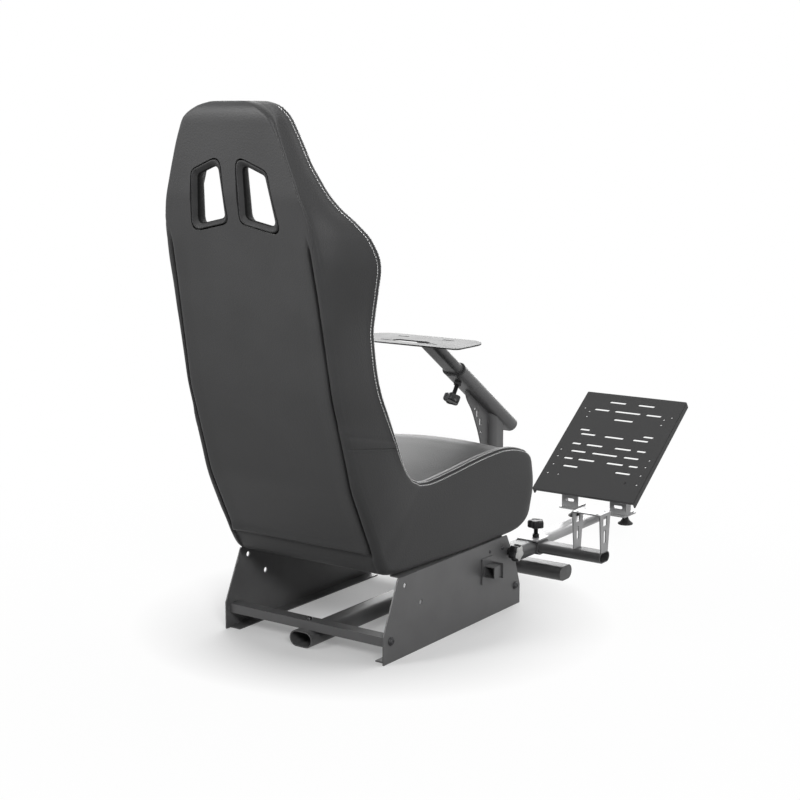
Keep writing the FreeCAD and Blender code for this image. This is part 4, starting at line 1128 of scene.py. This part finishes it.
def plate_bolts():
    """Bolts at the cross bars, two small ones on the right plate and one on the rear bar."""
    for side, label in ((1, "right"), (-1, "left")):
        turn = Matrix.Rotation(side * math.pi / 2, 4, "Y")
        heads = [bolt_head(place(side * PLATE_X, y, BAR_BOLT_Z), turn, 1.0) for y in BAR_BOLT_Y]
        if side > 0:
            heads += [bolt_head(place(PLATE_X, y, z), turn, size) for y, z, size in SMALL_BOLTS]
        finish_piece(joined(label + "_plate_bolts", heads), "frame", "black_coat", dark_zinc)
    y, z, size = TUBE_BOLT
    bolt = bolt_head(place(0.0, y, z), Matrix.Identity(4), size)
    bolt.name = "base_tube_bolt"
    finish_piece(bolt, "frame", "black_coat", dark_zinc)


# Stage


def direct_rays(tree):
    """One for rays from the camera, mirrored or passing through something; nought for diffuse ones."""
    path = tree.nodes.new("ShaderNodeLightPath")
    mirrored = tree.nodes.new("ShaderNodeMath")
    mirrored.operation = "MAXIMUM"
    either = tree.nodes.new("ShaderNodeMath")
    either.operation = "MAXIMUM"
    tree.links.new(path.outputs["Is Glossy Ray"], mirrored.inputs[0])
    tree.links.new(path.outputs["Is Transmission Ray"], mirrored.inputs[1])
    tree.links.new(path.outputs["Is Camera Ray"], either.inputs[0])
    tree.links.new(mirrored.outputs["Value"], either.inputs[1])
    return either.outputs["Value"]


def floor():
    """Pale floor that shines for direct rays, least under the part, where its shadow lies."""
    size = FLOOR_SIZE
    corners = [(-size, -size, 0), (size, -size, 0), (size, size, 0), (-size, size, 0)]
    mesh_floor = mesh_object("floor", corners, [(0, 1, 2, 3)])
    mat, tree, shader = node_material("pale_floor", rough=0.9, specular=0.1)
    tone = tree.nodes.new("ShaderNodeMix")
    tone.data_type = "RGBA"
    tone.inputs["A"].default_value = FLOOR_DIM
    tone.inputs["B"].default_value = FLOOR_PALE
    out = tree.nodes["Material Output"]
    glow = tree.nodes.new("ShaderNodeEmission")
    glow.inputs["Color"].default_value = WHITE
    coords = tree.nodes.new("ShaderNodeTexCoord")
    far = tree.nodes.new("ShaderNodeVectorMath")
    far.operation = "LENGTH"
    centre = tree.nodes.new("ShaderNodeVectorMath")
    centre.operation = "DISTANCE"
    centre.inputs[1].default_value = place(0.0, UNDER_Y, 0.0)
    both = tree.nodes.new("ShaderNodeMath")
    both.operation = "MULTIPLY"
    seen = tree.nodes.new("ShaderNodeMath")
    seen.operation = "MULTIPLY"
    mix = tree.nodes.new("ShaderNodeMixShader")
    direct = direct_rays(tree)
    tree.links.new(coords.outputs["Object"], far.inputs[0])
    tree.links.new(coords.outputs["Object"], centre.inputs[0])
    tree.links.new(mapped(tree, far.outputs["Value"], FLOOR_SPANS), both.inputs[0])
    tree.links.new(mapped(tree, centre.outputs["Value"], UNDER_SPANS), both.inputs[1])
    tree.links.new(both.outputs["Value"], seen.inputs[0])
    tree.links.new(direct, seen.inputs[1])
    tree.links.new(direct, tone.inputs["Factor"])
    tree.links.new(tone.outputs["Result"], shader.inputs["Base Color"])
    tree.links.new(seen.outputs["Value"], mix.inputs["Fac"])
    tree.links.new(shader.outputs["BSDF"], mix.inputs[1])
    tree.links.new(glow.outputs["Emission"], mix.inputs[2])
    tree.links.new(mix.outputs["Shader"], out.inputs["Surface"])
    mesh_floor.data.materials.append(mat)


def world():
    """Studio that is white for direct rays, and otherwise brightest on one side."""
    scene = bpy.context.scene
    scene.world = bpy.data.worlds.new("studio")
    scene.world.use_nodes = True
    tree = scene.world.node_tree
    plain = tree.nodes["Background"]
    plain.inputs["Color"].default_value = WHITE
    coords = tree.nodes.new("ShaderNodeTexCoord")
    front = tree.nodes.new("ShaderNodeVectorMath")
    front.operation = "DOT_PRODUCT"
    front.inputs[1].default_value = BRIGHT_SIDE
    tree.links.new(coords.outputs["Generated"], front.inputs[0])
    tree.links.new(mapped(tree, front.outputs["Value"], STUDIO_SPANS), plain.inputs["Strength"])
    white = tree.nodes.new("ShaderNodeBackground")
    white.inputs["Color"].default_value = WHITE
    white.inputs["Strength"].default_value = 1.0
    mix = tree.nodes.new("ShaderNodeMixShader")
    tree.links.new(direct_rays(tree), mix.inputs["Fac"])
    tree.links.new(plain.outputs["Background"], mix.inputs[1])
    tree.links.new(white.outputs["Background"], mix.inputs[2])
    tree.links.new(mix.outputs["Shader"], tree.nodes["World Output"].inputs["Surface"])


def lamp(name, at, target, size, power, beam):
    data = bpy.data.lights.new(name, "AREA")
    data.shape = "RECTANGLE"
    data.size = size[0]
    data.size_y = size[1]
    data.energy = power
    data.spread = math.radians(beam)
    obj = bpy.data.objects.new(name, data)
    bpy.context.scene.collection.objects.link(obj)
    obj.location = at
    obj.rotation_euler = (Vector(target) - Vector(at)).to_track_quat("-Z", "Y").to_euler()
    obj.visible_camera = False


def camera():
    data = bpy.data.cameras.new("camera")
    data.sensor_width = CAMERA_SENSOR
    data.lens = CAMERA_LENS
    data.clip_end = CAMERA_CLIP
    obj = bpy.data.objects.new("camera", data)
    bpy.context.scene.collection.objects.link(obj)
    a = math.radians(CAMERA_AZIMUTH)
    e = math.radians(CAMERA_DOWN)
    ahead = Vector((-math.sin(a) * math.cos(e), math.cos(a) * math.cos(e), -math.sin(e)))
    turn = ahead.to_track_quat("-Z", "Y").to_matrix().to_4x4()
    roll = Matrix.Rotation(math.radians(CAMERA_ROLL), 4, "Z")
    obj.matrix_world = Matrix.Translation(CAMERA_AT) @ turn @ roll
    bpy.context.scene.camera = obj


build_seat()
pedal_plate()
knob_pieces()
feet()
plate_bolts()
floor()
world()
for row in LAMPS:
    lamp(*row)
camera()
bpy.context.scene.view_settings.view_transform = "Standard"
